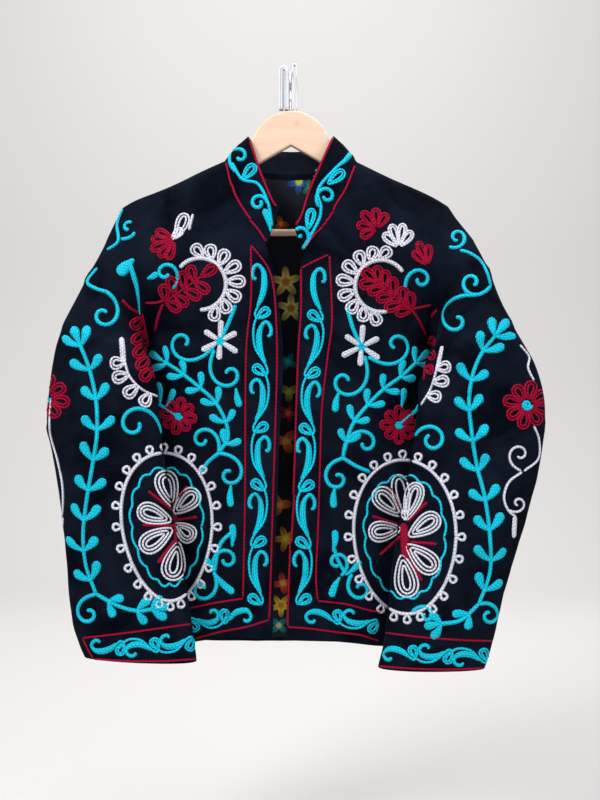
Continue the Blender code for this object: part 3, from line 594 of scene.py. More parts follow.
# A merged, smoothed copy of a CAD node's mesh as a new object
def cleanCopy(node, name, levels, angle):
    look = shellLook
    shell = addObject(name, bpy.data.meshes.new(name))
    work = bmesh.new()
    work.from_mesh(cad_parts[node].data)
    bmesh.ops.remove_doubles(work, verts=work.verts, dist=look["merge"])
    bmesh.ops.join_triangles(work, faces=work.faces,
                             angle_face_threshold=math.radians(look["joinTurn"]),
                             angle_shape_threshold=math.radians(look["joinShape"]))
    bmesh.ops.recalc_face_normals(work, faces=work.faces)
    crease = work.edges.layers.float.new("crease_edge")
    for edge in work.edges:
        if len(edge.link_faces) == 2:
            if edge.calc_face_angle(0.0) > math.radians(angle) or onNotch(node, edge):
                edge[crease] = 1.0
                edge.smooth = False
    corner = work.verts.layers.float.new("crease_vert")
    for v in work.verts:
        if sum(edge[crease] for edge in v.link_edges) == 1:
            v[corner] = 1.0
    work.to_mesh(shell.data)
    work.free()
    pick(shell)
    smooth = shell.modifiers.new("smoothing", "SUBSURF")
    smooth.levels = smooth.render_levels = levels
    bpy.ops.object.modifier_apply(modifier=smooth.name)
    return shell


# Shading, material and place in the frame for a piece that stands in for a node
def settle(piece, node, material, angle):
    pick(piece)
    bpy.ops.object.shade_smooth_by_angle(angle=math.radians(angle))
    piece.data.materials.append(material)
    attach(piece, body)
    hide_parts(node)
    return piece


def dressShell(node, material):
    look = shellLook
    shell = cleanCopy(node, node + "_cloth", look["smoothing"], look["sharpAngle"])
    mesh = shell.data
    rows = sliceExtents(node)
    way = 1 if node in ("back", "lining_back") else -1
    side = -1 if node == "sleeve_right" else 1
    wide, deep = look["sleeveHalf"]
    begin, length = look["sleeveCalm" if node in sleeveCreases else "bodyCalm"]
    for v in mesh.vertices:
        x, y, z = v.co
        stretched = Vector(a * b for a, b in zip(look["flutterStretch"], (x, y, z)))
        sway = look["flutter"] * noise.noise(stretched / look["flutterSize"])
        sway += look["wrinkle"] * noise.noise(Vector((x, y, z)) / look["wrinkleSize"])
        x0, x1, y0, y1 = extentAt(rows, z)
        calm = ease((begin - z) / length)
        if node in sleeveCreases:
            offX, offY = x - (x0 + x1) / 2, y - (y0 + y1) / 2
            out = Vector((offX, offY, 0))
            degrees = math.degrees(math.atan2(-offY / deep, side * offX / wide)) % 360
            lift = sleeveLift(sleeveCreases[node], z * 1000, degrees)
            if out.length > tiny:
                v.co += out.normalized() * (lift + sway) * calm
        elif node in bodyCreases:
            if node == "back":
                near = math.exp(-((z - look["underarm"]) / look["underarmTall"]) ** 2)
                beside = ease((abs(x) - look["underarmFrom"]) / look["underarmFade"])
                v.co.x += math.copysign(look["underarmWide"], x) * near * beside
            calm *= ease(min(x - x0, x1 - x) / look["edgeCalm"])
            v.co.y += way * (creaseLift(bodyCreases[node], x * 1000, z * 1000) + sway) * calm
    if node != "lining_back":
        swollen = [v.co + v.normal * look["swell"] for v in mesh.vertices]
        for v, place in zip(mesh.vertices, swollen):
            v.co = place
    mesh.shade_smooth()
    return settle(shell, node, material, look["sharpAngle"])


velvetNodes = ["front_right", "front_left", "back", "sleeve_right", "sleeve_left", "collar"]
shells = {node: dressShell(node, velvet) for node in velvetNodes}
shells["lining_back"] = dressShell("lining_back", lining)
print("cloth shells made")


# Placing the needle
def surfaceOf(shell):
    mesh = shell.data
    return BVHTree.FromPolygons([v.co.copy() for v in mesh.vertices],
                                [tuple(p.vertices) for p in mesh.polygons])


surfaces = {node: surfaceOf(shells[node]) for node in velvetNodes}


def nearestHit(start, way, pieces):
    best = None
    for piece in pieces:
        point, normal, _, reach = surfaces[piece].ray_cast(start, way)
        if point is not None and (best is None or reach < best[3]):
            best = (point, normal if normal.dot(way) < 0 else -normal, piece, reach)
    return best


def fromFront(x, y, pieces):
    start = camera.location
    return nearestHit(start, (planePoint(x, y) - start).normalized(), pieces)


behind = 0.6


def fromBack(x, y, pieces):
    start = planePoint(x, y)
    start.y = behind
    return nearestHit(start, Vector((0, -1, 0)), pieces)


threads = {}
stitchLook = {
    # pixels from one place to the next, and parts of each span of a curve
    "step": 1.6, "parts": 8,
    "rise": 0.0013, "sink": 0.00035, "clear": 0.0001, "across": (-1, -0.55, 0, 0.55, 1),
    "crown": 0.6, "skirt": 3, "steep": (0.7, 0.0002), "endHeight": 0.35, "endWidth": 0.7,
    # a strip ends where the cloth jumps by this, or where it gets thinner than this
    "jump": 0.012, "least": 0.15,
}
shuffle = random.Random(7)


def spot(place):
    return place if isinstance(place, complex) else complex(*place)


# Evenly spaced points on a smooth curve through a few places
def smoothPath(points, step=stitchLook["step"], closed=False):
    points = [spot(p) for p in points]
    n, parts = len(points), stitchLook["parts"]
    fine = []
    for i in range(n if closed else n - 1):
        p0 = points[(i - 1) % n] if closed or i > 0 else 2 * points[0] - points[1]
        p1, p2 = points[i], points[(i + 1) % n]
        p3 = points[(i + 2) % n] if closed or i + 2 < n else 2 * points[-1] - points[-2]
        for k in range(parts):
            t = k / parts
            fine.append(0.5 * (2 * p1 + (p2 - p0) * t + (2 * p0 - 5 * p1 + 4 * p2 - p3) * t * t
                               + (3 * p1 - p0 - 3 * p2 + p3) * t**3))
    fine.append(points[0] if closed else points[-1])
    return evenPath(fine, step)


def evenPath(fine, step):
    lengths = [0.0]
    for a, b in zip(fine, fine[1:]):
        lengths.append(lengths[-1] + abs(b - a))
    count = max(3, round(lengths[-1] / step))
    result, k = [], 0
    for i in range(count + 1):
        at = lengths[-1] * i / count
        while k < len(lengths) - 2 and lengths[k + 1] < at:
            k += 1
        span = lengths[k + 1] - lengths[k]
        t = (at - lengths[k]) / span if span else 0
        result.append(fine[k] + (fine[k + 1] - fine[k]) * t)
    return result


# A closed, crowned strip of thread that lies on the cloth through some hits
def sewStrip(hits, widths, colour):
    look = stitchLook
    store = threads.setdefault((hits[0][2], colour), {"points": [], "faces": [], "marks": []})
    first = len(store["points"])
    n, m = len(hits), len(look["across"])
    offset = shuffle.random() * 10
    travelled = 0.0
    for i, (point, normal, _, _) in enumerate(hits):
        way = hits[min(i + 1, n - 1)][0] - hits[max(i - 1, 0)][0]
        if way.length < 1e-7:
            way = Vector((1, 0, 0))
        side = normal.cross(way.normalized()).normalized()
        if i:
            travelled += (point - hits[i - 1][0]).length
        atEnd = i in (0, n - 1)
        half = widths[i] * photo["metresPerPixel"] / 2 * (look["endWidth"] if atEnd else 1.0)
        rise = min(look["rise"], look["steep"][0] * half + look["steep"][1])
        rise *= look["endHeight"] if atEnd else 1.0
        for share in look["across"]:
            high = rise * (1 - share * share) ** look["crown"]
            high += look["clear"] - look["sink"] * abs(share) ** look["skirt"]
            store["points"].append(point + side * half * share + normal * high)
            store["marks"].append((travelled * 100 + offset, half * share * 100))
    for i in range(n - 1):
        for k in range(m):
            a, b = first + i * m + k, first + i * m + (k + 1) % m
            store["faces"].append((a, a + m, b + m, b))
    store["faces"].append(tuple(first + k for k in range(m)))
    store["faces"].append(tuple(first + (n - 1) * m + k for k in reversed(range(m))))


# Sews a path of photo pixels on to the cloth; a run that leaves a piece starts again. Where the
# path misses the cloth, it is moved sideways by up to seek pixels.
def stitch(pen, path, width, taper=None, seek=0):
    run, widths = [], []
    count = len(path) - 1

    def finishRun():
        if len(run) > 2:
            sewStrip(run, widths, pen["colour"])

    def find(i):
        way = path[min(i + 1, count)] - path[max(i - 1, 0)]
        aside = way / abs(way) * 1j if abs(way) > 1e-6 else 0
        for k in range(2 * seek + 1):
            p = path[i] + aside * ((k + 1) // 2) * (1 if k % 2 else -1) if k else path[i]
            hit = pen["cast"](p.real, p.imag, pen["pieces"])
            if hit:
                return hit
        return None

    for i in range(count + 1):
        hit = find(i)
        size = width * (taper(i / count) if taper else 1.0)
        broken = run and hit and (
            hit[2] != run[-1][2] or (hit[0] - run[-1][0]).length > stitchLook["jump"])
        if hit is None or broken:
            finishRun()
            run, widths = [], []
        if hit is not None and size > stitchLook["least"]:
            run.append(hit)
            widths.append(size)
    finishRun()


# Motifs
# Widths of stitched lines, in photo pixels
lineWidth = {
    "turquoise": 4.3, "white": 3.0, "crimson": 3.0, "edge": 2.3, "vine": 4.3, "link": 2.8,
    "piping": 2.8, "loop": 2.6, "arc": 4.6, "oval": 3.7, "ring": 3.3, "scallop": 2.7,
    "petal": 2.5, "borderLoop": 2.4,
}


def roundEnd(share):
    return 1.0 if share >= 1 else math.sqrt(max(0.0, 1 - (1 - share) ** 2))


loopShape = {"stagger": 0.12, "shorten": 0.9, "neck": 0.5, "belly": 0.85, "parts": 24, "step": 1.3}


# Loops of one line of thread, from a base round a tip, one inside the other
def loop(pen, base, tip, breadth, nested=2, width=lineWidth["loop"]):
    shape = loopShape
    base, tip = spot(base), spot(tip)
    axis = tip - base
    ahead = axis / abs(axis)
    for k in range(nested):
        inset = 0.5 * breadth * k / nested
        start = base + axis * shape["stagger"] * k
        reach = tip - ahead * inset * shape["shorten"] - start
        half = 0.5 * breadth - inset
        path = []
        for i in range(shape["parts"] + 1):
            turn = 2 * math.pi * i / shape["parts"]
            along = (1 - math.cos(turn)) / 2
            path.append(start + reach * along + ahead * 1j * half * math.sin(turn)
                        * (shape["neck"] + shape["belly"] * along))
        stitch(pen, evenPath(path, shape["step"]), width)


barShape = {"grown": 0.72, "least": 0.15, "step": 0.9, "leafBase": 0.40, "starBase": 0.75}


# Rows of chain stitch side by side with round ends, narrower at the base where that is asked
def bar(pen, base, tip, breadth, narrow=1.0, bend=0.0):
    base, tip = spot(base), spot(tip)
    axis = tip - base
    half = breadth / 2

    def profile(t):
        grown = narrow + (1 - narrow) * ease(t / barShape["grown"])
        ends = roundEnd((1 - t) * abs(axis) / half) * roundEnd(t * abs(axis) / (half * narrow))
        return max(barShape["least"], grown * ends)

    line = [base, base + axis * (0.5 + 1j * bend), tip]
    stitch(pen, smoothPath(line, barShape["step"]), breadth, profile)


def leaf(pen, base, tip, breadth, bend=0.05):
    bar(pen, base, tip, breadth, barShape["leafBase"], bend)


scrollShape = {"turns": 1.15, "pace": 1.35, "tighten": 0.62, "arrive": 2.4, "parts": 40}


# A stem that runs into a curl: hand is 1 for clockwise as seen
def scroll(pen, start, centre, radius, hand):
    shape = scrollShape
    start, centre = spot(start), spot(centre)
    far, angle = abs(start - centre), cmath.phase(start - centre)
    path = []
    for i in range(shape["parts"] + 1):
        t = i / shape["parts"]
        turn = angle + hand * 2 * math.pi * shape["turns"] * t ** shape["pace"]
        reach = radius * (1 - shape["tighten"] * t) + (far - radius) * (1 - t) ** shape["arrive"]
        path.append(centre + cmath.rect(reach, turn))
    stitch(pen, evenPath(path, stitchLook["step"]), lineWidth[pen["colour"]])


def stem(pen, points, width=None, seek=0):
    stitch(pen, smoothPath(points), width or lineWidth[pen["colour"]], None, seek)


def direction(path, i):
    way = path[min(i + 1, len(path) - 1)] - path[max(i - 1, 0)]
    return way / abs(way)


# tilt of a pair in degrees, more of it on every second pair, shortening, bend, end leaf
vineShape = {"angle": 40, "moreAngle": 8, "shorten": 0.06, "bend": 0.06, "end": 0.9}


# A stem from root to tip with pairs of leaves, or of loops, that point to the tip
def vine(pen, points, pitch, length, breadth, angle=vineShape["angle"], width=None, first=0.5,
         nested=0):
    shape = vineShape
    path = smoothPath(points)
    stitch(pen, path, width or lineWidth["vine"])
    step = stitchLook["step"]
    for k in range(int((len(path) - 1) * step / pitch) + 1):
        i = min(len(path) - 2, int((k + first) * pitch / step))
        for hand in (1, -1):
            tilt = cmath.rect(1, math.radians((angle + shape["moreAngle"] * (k % 2)) * hand))
            size = 1 - shape["shorten"] * ((k + hand) % 3)
            tip = path[i] + direction(path, i) * tilt * length * size
            if nested:
                loop(pen, path[i], tip, breadth, nested)
            else:
                leaf(pen, path[i], tip, breadth, shape["bend"] * hand)
    end, way = path[-1], direction(path, len(path) - 1)
    if nested:
        loop(pen, end, end + way * length, breadth, nested)
    else:
        leaf(pen, end, end + way * length * shape["end"], breadth, 0.0)


rosetteShape = {"turns": 1.8, "tighten": 0.85, "parts": 30, "width": 0.8, "leastWidth": 1.8}


# A small tight coil of thread
def rosette(pen, centre, radius):
    shape = rosetteShape
    path = []
    for i in range(shape["parts"] + 1):
        reach = radius * (1 - shape["tighten"] * i / shape["parts"])
        path.append(spot(centre) + cmath.rect(
            reach, 2 * math.pi * shape["turns"] * i / shape["parts"]))
    stitch(pen, evenPath(path, 1.0), max(shape["leastWidth"], radius * shape["width"]))


# Directions round a flower from a first turn in degrees, each with its number
def rays(petals, turn):
    return [(k, cmath.rect(1, math.radians(turn) + 2 * math.pi * k / petals))
            for k in range(petals)]


# Every second petal is shorter by a share. Sizes are shares of the radius or in pixels.
flowerShape = {"daisyShort": 0.06, "daisyBase": 0.24, "daisyCore": 0.2,
               "starShort": 0.1, "starBase": 3, "starCore": 4.2}


# A flower of looped petals, its core sewn in another colour
def daisy(pen, centre, radius, petals, breadth, turn, core):
    shape, middle = flowerShape, spot(centre)
    for k, way in rays(petals, turn):
        loop(pen, middle + way * radius * shape["daisyBase"],
             middle + way * radius * (1 - shape["daisyShort"] * (k % 2)), breadth)
    rosette(dict(pen, colour=core), centre, radius * shape["daisyCore"])


# A flower of solid bars
def star(pen, centre, radius, petals, breadth, turn, core):
    shape, middle = flowerShape, spot(centre)
    for k, way in rays(petals, turn):
        bar(pen, middle + way * shape["starBase"],
            middle + way * radius * (1 - shape["starShort"] * (k % 2)), breadth,
            barShape["starBase"])
    rosette(dict(pen, colour=core), centre, shape["starCore"])


fanShape = {"shorten": 0.4, "base": 0.12}


# A half flower: petals that open from one point
def fan(pen, base, tip, petals, spread, breadth):
    root, axis = spot(base), spot(tip) - spot(base)
    for k in range(petals):
        share = k / (petals - 1) - 0.5
        turned = cmath.rect(1, math.radians(spread * share))
        end = root + axis * (1 - fanShape["shorten"] * abs(share)) * turned
        loop(pen, root + (end - root) * fanShape["base"], end, breadth)


crescentShape = {"parts": 20, "step": 1.5, "lean": 17, "small": 0.80, "swell": 0.38}


# A thick arc with loops close together on its outside
def crescent(pen, centre, radius, start, sweep, loops, span, length, breadth):
    shape, middle = crescentShape, spot(centre)

    def at(share, reach, lean=0.0):
        return middle + cmath.rect(reach, math.radians(start + sweep * share + lean))

    arc = [at(i / shape["parts"], radius) for i in range(shape["parts"] + 1)]
    stitch(pen, evenPath(arc, shape["step"]), lineWidth["arc"])
    for k in range(loops):
        part = k / (loops - 1)
        share = span[0] + (span[1] - span[0]) * part
        lean = math.copysign(shape["lean"], sweep) * (2 * part - 1)
        size = length * (shape["small"] + shape["swell"] * math.sin(math.pi * part) ** 2)
        loop(pen, at(share, radius + 1), at(share, radius + size, lean), breadth)


featherShape = {"first": 0.35, "small": 0.8, "swell": 0.25}


# A spine of thread with loops on one of its sides
def feather(pen, spine, side, loops, length, breadth, lean):
    shape = featherShape
    path = smoothPath(spine)
    stitch(pen, path, lineWidth[pen["colour"]])
    for k in range(loops):
        i = min(len(path) - 2, int((k + shape["first"]) / loops * (len(path) - 1)))
        way = direction(path, i) * 1j * side * cmath.rect(1, -side * math.radians(lean))
        size = length * (shape["small"]
                         + shape["swell"] * math.sin(math.pi * (k + 0.5) / loops))
        loop(pen, path[i], path[i] + way * size, breadth)


medallionShape = {
    "ovalParts": 28, "rings": 24, "ringLength": 9, "ringBreadth": 6.4, "scallops": 8,
    "scallopParts": 120, "scallopScale": 0.76, "scallopDepth": 0.055, "step": 1.4,
}


# An oval of white thread with small rings on it, a scalloped ring and a flower of nested petals
def medallion(pens, centre, wide, tall, flower):
    shape, middle = medallionShape, spot(centre)
    full = 2 * math.pi

    def ring(share, scale=1):
        turn = full * share
        across = wide * math.cos(turn) * (1 - flower["egg"] * math.sin(turn))
        across += flower["lean"] * math.sin(turn)
        return middle + complex(across, tall * math.sin(turn)) * scale

    oval = [ring(i / shape["ovalParts"]) for i in range(shape["ovalParts"])]
    stitch(pens["white"], smoothPath(oval, closed=True), lineWidth["oval"])
    for k in range(shape["rings"]):
        edge = ring(k / shape["rings"])
        out = (edge - middle) / abs(edge - middle)
        loop(pens["white"], edge + out, edge + out * shape["ringLength"], shape["ringBreadth"], 1,
             lineWidth["ring"])
    parts, scallops = shape["scallopParts"], []
    for i in range(parts + 1):
        wave = abs(math.sin(full * i / parts * shape["scallops"]))
        scallops.append(ring(i / parts, shape["scallopScale"] + shape["scallopDepth"] * wave))
    stitch(pens["turquoise"], evenPath(scallops, shape["step"]), lineWidth["scallop"])
    for x, y, tipX, tipY, breadth, nested in flower["petals"]:
        loop(pens["white"], middle + complex(x, y), middle + complex(tipX, tipY), breadth, nested,
             lineWidth["petal"])
    for x, y, tipX, tipY, breadth in flower["rays"]:
        bar(pens["crimson"], middle + complex(x, y), middle + complex(tipX, tipY), breadth)


# One bay of a border: part of the bay's length, part of the band's half width
borderShape = {
    "curl": [(0.78, -0.42), (0.60, 0.00), (0.40, 0.20), (0.20, 0.16), (0.08, -0.12),
             (0.05, -0.48), (0.13, -0.82), (0.24, -0.86), (0.29, -0.66), (0.25, -0.50)],
    "stem": [(-0.05, 0.42), (0.12, 0.70), (0.33, 0.72), (0.54, 0.46)],
    "link": [(0.77, -0.34), (0.90, -0.62), (0.98, -0.46)],
    "loop": [(0.97, -0.40), (0.82, 0.66)],
    # breadths as shares of the half width
    "curlBreadth": 0.66, "loopBreadth": 0.84, "curlStep": 1.2,
    # a curl's breadth: at its head, more in its belly, how far that goes and how full it is,
    # at its tail, where the tail has grown, and how blunt the end is
    "head": 0.36, "belly": 0.64, "bellyEnd": 0.66, "fullness": 0.7, "tail": 0.58,
    "tailGrown": 0.4, "blunt": 12,
}


# A running vine in a band: every bay holds a thick curl, a thin stem beside it and a loop
def border(pen, points, half, bays, firstSide):
    shape = borderShape
    path = smoothPath(points, 1.0)
    last = len(path) - 1

    def profile(t):
        bulge = math.sin(math.pi * min(1.0, t / shape["bellyEnd"])) ** shape["fullness"]
        grown = max(shape["head"] + shape["belly"] * bulge,
                    shape["tail"] * ease(t / shape["tailGrown"]))
        return grown * roundEnd((1 - t) * shape["blunt"])

    def lay(bay, part):
        side = firstSide * half * (1 if bay % 2 == 0 else -1)
        spots = []
        for along, off in shape[part]:
            i = min(last, max(0, round((bay + along) / bays * last)))
            spots.append(path[i] + direction(path, i) * 1j * off * side)
        return spots

    for bay in range(bays):
        curl = smoothPath(lay(bay, "curl"), shape["curlStep"])
        stitch(pen, curl, shape["curlBreadth"] * half, profile)
        before = lay(bay, "stem") if bay else []
        stitch(pen, smoothPath(before + lay(bay, "link")), lineWidth["link"])
        base, tip = lay(bay, "loop")
        loop(pen, base, tip, shape["loopBreadth"] * half, 2, lineWidth["borderLoop"])


def pensFor(cast, pieces):
    return {c: {"cast": cast, "pieces": pieces, "colour": c}
            for c in ("turquoise", "white", "crimson")}


# Places in photo pixels. The wearer's right front and sleeve are on the viewer's left.
# curls: start x, start y, centre x, centre y, radius, hand. leaves: base, tip, breadth.
# lines: colour, width, points. bars and loops: colour, base, tip, breadth.
rightFront = {
    "pieces": ["front_right"],
    "curls": [(214, 347, 183, 342, 10, 1), (214, 350, 230, 374, 10, -1),
              (219, 453, 202, 440, 9, -1), (219, 453, 229, 475, 10, 1),
              (214, 572, 227, 560, 10, 1), (214, 572, 201, 589, 9, 1),
              (173, 289, 165, 273, 9, -1)],
    "leaves": [(236, 388, 240, 407, 8), (231, 485, 231, 507, 8), (232, 547, 232, 524, 8),
               (214, 573, 234, 593, 8.5), (213, 571, 205, 558, 7), (147, 279, 158, 273, 8),
               (160, 404, 158, 382, 8), (165, 408, 174, 389, 8)],
    "lines": [("turquoise", 4.3, [(219, 453), (208, 462), (200, 474)]),
              ("turquoise", 4.6, [(235.5, 305), (228, 324), (220, 341)]),
              ("turquoise", 4.0, [(177, 416), (168, 410), (158, 404)]),
              ("turquoise", 4.3, [(214, 572), (220, 545), (232, 532)]),
              ("crimson", 3.2, [(144, 303), (155, 303), (166, 300)]),
              ("crimson", 3.2, [(155, 331), (158, 317), (163, 304)])],
    "bars": [("white", 189, 230, 193, 214, 3.4)],
    "loops": [("white", 176, 238, 186, 214, 12), ("white", 172, 239, 182, 229, 8)],
    "vines": [([(219, 452), (228, 438), (225, 420), (215, 402), (200, 388), (180, 372),
                (163, 361)], 21.5, 18, 8.6)],
    "star": (220, 341, 21, -87), "daisy": (178.5, 416, 18.5, 10),
    "crescent": ((200, 284), 26, -141, 231, 8, (0.25, 0.84), 16.5, 11.5),
    "branch": ([(164, 302), (184, 289), (201, 277)], 11.5, 19, 10.5, 64),
    "fans": [((175, 240), (151, 250), 5, 95, 9)],
}
leftFront = {
    "pieces": ["front_left"],
    "curls": [(405, 288, 421, 280, 9, 1), (368, 357, 396, 344, 10.5, -1),
              (365, 356, 344, 381, 11, 1), (343, 458, 338, 479, 10, -1),
              (343, 458, 366, 444, 9, 1), (341, 576, 337, 562, 9, -1),
              (352, 574, 361, 589, 10, -1)],
    "leaves": [(339, 392, 335, 412, 8), (335, 487, 334, 508, 8), (333, 552, 335, 530, 8),
               (340, 577, 331, 597, 8.5), (346, 575, 361, 561, 7), (401, 408, 404, 388, 8),
               (412, 415, 424, 400, 8)],
    "lines": [("turquoise", 4.3, [(343, 458), (356, 466), (370, 472)]),
              ("turquoise", 4.6, [(347, 307), (353, 328), (361, 346)]),
              ("turquoise", 4.0, [(399, 425), (408, 417), (417, 410)]),
              ("turquoise", 4.3, [(346, 575), (338, 560), (334, 548)]),
              ("crimson", 3.0, [(412, 309), (422, 307), (431, 305)]),
              ("crimson", 3.0, [(412, 310), (420, 322), (426, 335)])],
    "bars": [], "loops": [],
    "vines": [([(344, 452), (352, 426), (366, 407), (384, 389), (402, 376), (417, 362)],
               21.5, 18, 8.6)],
    "star": (361.5, 346.5, 22, -86), "daisy": (399, 425, 19, 0),
    "crescent": ((381, 286), 26, -33, -252, 9, (0.24, 0.86), 16, 11.5),
    "branch": ([(413, 311), (396, 298), (377, 282)], 11.5, 19, 10.5, 46),
    "fans": [((377, 229), (362, 212), 5, 150, 9), ((399, 248), (397, 222), 4, 85, 9),
             ((428, 266), (418, 242), 3, 48, 8)],
    "fanColours": ("crimson", "white", "crimson"),
}
rightSleeve = {
    "pieces": ["sleeve_right"],
    "curls": [(96, 594, 89, 614, 9, -1), (106, 291, 103, 315, 10.5, 1),
              (162, 438, 134, 425, 14, -1), (121, 239, 128, 227, 6.5, -1)],
    "leaves": [(134, 259, 119, 275, 13), (139.5, 315, 129, 262, 5.5)],
    "lines": [("turquoise", 4.0, [(97, 268), (87, 282), (97, 289), (108, 292)]),
              ("turquoise", 4.0, [(123, 208), (117, 224), (118, 241), (107, 250)]),
              ("crimson", 3.6, [(122, 300), (130, 308), (140, 314)])],
    "bars": [("white", 121.7, 337, 123.5, 363, 6)], "loops": [],
    "vines": [([(96, 594), (86, 566), (83, 536), (86, 504), (93, 462), (97, 433), (96, 400),
                (89, 368), (80, 345)], 30.5, 22, 10),
              ([(96, 594), (118, 606), (138, 611), (153, 609)], 30, 18, 9.5)],
    "feathers": [("crimson", [(142, 314), (147, 340), (154, 378)], 1, 5, 18, 11, 35),
                 ("white", [(123.5, 358), (130, 377), (143, 390), (159, 397)], 1, 4, 16, 12, -12)],
}
leftSleeve = {
    "pieces": ["sleeve_left"],
    "curls": [(477, 295, 457, 321, 10, -1), (491, 286, 472, 282, 10, 1),
              (449, 247, 457, 237, 8.5, -1), (412, 612, 426, 616, 6, 1),
              (479, 604, 489, 616, 9, 1), (414, 437, 432, 440, 14, 1)],
    "leaves": [],
    "lines": [("turquoise", 4.0, [(460, 250), (470, 253), (480, 260), (487, 272), (491, 286)]),
              ("crimson", 4.0, [(431, 317), (437, 310)]),
              ("white", 3.0, [(520, 345), (529, 357), (528, 368), (534, 381)]),
              ("white", 3.0, [(534, 426), (539, 440), (538, 459), (524, 471)]),
              ("white", 3.0, [(522, 472), (509, 482), (504, 497), (508, 510), (516, 517)])],
    "bars": [("white", 442, 346, 437, 370, 5.2), ("white", 515, 516, 514, 538, 6)],
    "loops": [],
    "vines": [([(479, 604), (490, 572), (490, 536), (485, 498), (477, 466), (472, 434),
                (469, 402), (473, 374), (482, 353), (496, 335)], 30.5, 22, 10),
              ([(479, 604), (461, 620), (440, 624)], 30, 18, 9.5)],
    "feathers": [("crimson", [(427, 336), (426, 354), (424, 380)], -1, 3, 9, 9, 0),
                 ("white", [(438, 364), (431, 388), (421, 405)], -1, 3, 15, 11, -25)],
    "whiteCurls": [(521, 471, 520, 454, 9, 1), (508, 510, 518, 503, 6, -1)],
}
# The flower in each medallion, from the middle of its oval: base, tip, breadth, lines in it
rightFlower = {
    "lean": 3, "egg": 0.14,
    "petals": [(6, -20, -4, -56, 22, 3), (7, -14, 31, -36, 20, 3), (4, -6, -29, -18, 20, 3),
               (5, 2, -26, 22, 21, 3), (8, -3, 27, 12, 18, 3), (11, 15, 4, 53, 23, 3)],
    "rays": [(6, -16, -19, -36, 3.4), (6, -23, 20, -41, 3.4), (9, -7, 30, -10, 3.2),
             (9, -1, -25, -2, 3.6), (10, 11, -9, 36, 4.2), (7, -13, 9, 17, 6.5)],
}
leftFlower = {
    "lean": 2, "egg": 0.07,
    "petals": [(-3, -21, -30, -47, 21, 3), (1, -17, -7, -62, 17, 2), (2, -17, 13, -54, 18, 3),
               (4, -1, 34, -21, 20, 3), (-4, -8, -36, -4, 20, 3), (2, 8, 32, 34, 22, 3),
               (-3, 18, 4, 60, 23, 3)],
    "rays": [(-2, -20, -14, -50, 3.4), (2, -15, 22, -35, 3.6), (-5, -12, -33, -21, 3.2),
             (-4, -1, -25, 18, 3.6), (5, 5, 32, 7, 3.4), (2, 15, 17, 44, 3.8),
             (-2, -14, 1, 22, 10)],
}


def sewPanel(plan, cast):
    pens = pensFor(cast, plan["pieces"])
    for colour, table in (("turquoise", "curls"), ("white", "whiteCurls")):
        for x, y, cx, cy, radius, hand in plan.get(table, []):
            scroll(pens[colour], (x, y), (cx, cy), radius, hand)
    for colour, width, points in plan["lines"]:
        stem(pens[colour], points, width)
    for line, pitch, length, breadth in plan["vines"]:
        vine(pens["turquoise"], line, pitch, length, breadth)
    for x, y, tipX, tipY, breadth in plan["leaves"]:
        leaf(pens["turquoise"], (x, y), (tipX, tipY), breadth)
    for colour, x, y, tipX, tipY, breadth in plan["bars"]:
        bar(pens[colour], (x, y), (tipX, tipY), breadth)
    for colour, x, y, tipX, tipY, breadth in plan["loops"]:
        loop(pens[colour], (x, y), (tipX, tipY), breadth)
    for colour, spine, side, loops, length, breadth, lean in plan.get("feathers", []):
        feather(pens[colour], spine, side, loops, length, breadth, lean)


def sewChest(plan, cast):
    pens = pensFor(cast, plan["pieces"])
    x, y, radius, turn = plan["daisy"]
    daisy(pens["crimson"], (x, y), radius, 8, 9, turn, "turquoise")
    x, y, radius, turn = plan["star"]
    star(pens["white"], (x, y), radius, 6, 6.8, turn, "turquoise")
    crescent(pens["white"], *plan["crescent"])
    points, pitch, length, breadth, angle = plan["branch"]
    vine(pens["crimson"], points, pitch, length, breadth, angle, 3.0, 0.2, 2)
    colours = plan.get("fanColours", ("crimson",))
    for colour, (base, tip, petals, spread, breadth) in zip(colours, plan["fans"]):
        fan(pens[colour], base, tip, petals, spread, breadth)


for plan in (rightFront, leftFront, rightSleeve, leftSleeve):
    sewPanel(plan, fromFront)
for plan in (rightFront, leftFront):
    sewChest(plan, fromFront)
daisy(pensFor(fromFront, ["sleeve_left"])["crimson"], (527, 405), 24, 8, 11.5, 12, "turquoise")
daisy(pensFor(fromFront, ["sleeve_right"])["crimson"], (46, 398), 24, 8, 11.5, 12, "turquoise")
stem(pensFor(fromFront, ["sleeve_right"])["white"],
     [(51, 400), (50, 431), (58, 462), (63, 491), (62, 527)], None, 3)
for centre, wide, tall, flower, pieces in (
    ((167, 527), 45, 74, rightFlower, ["front_right", "sleeve_right"]),
    ((405, 537), 51, 77, leftFlower, ["front_left", "sleeve_left"]),
):
    medallion(pensFor(fromFront, pieces), centre, wide, tall, flower)
print("fronts and sleeves embroidered")

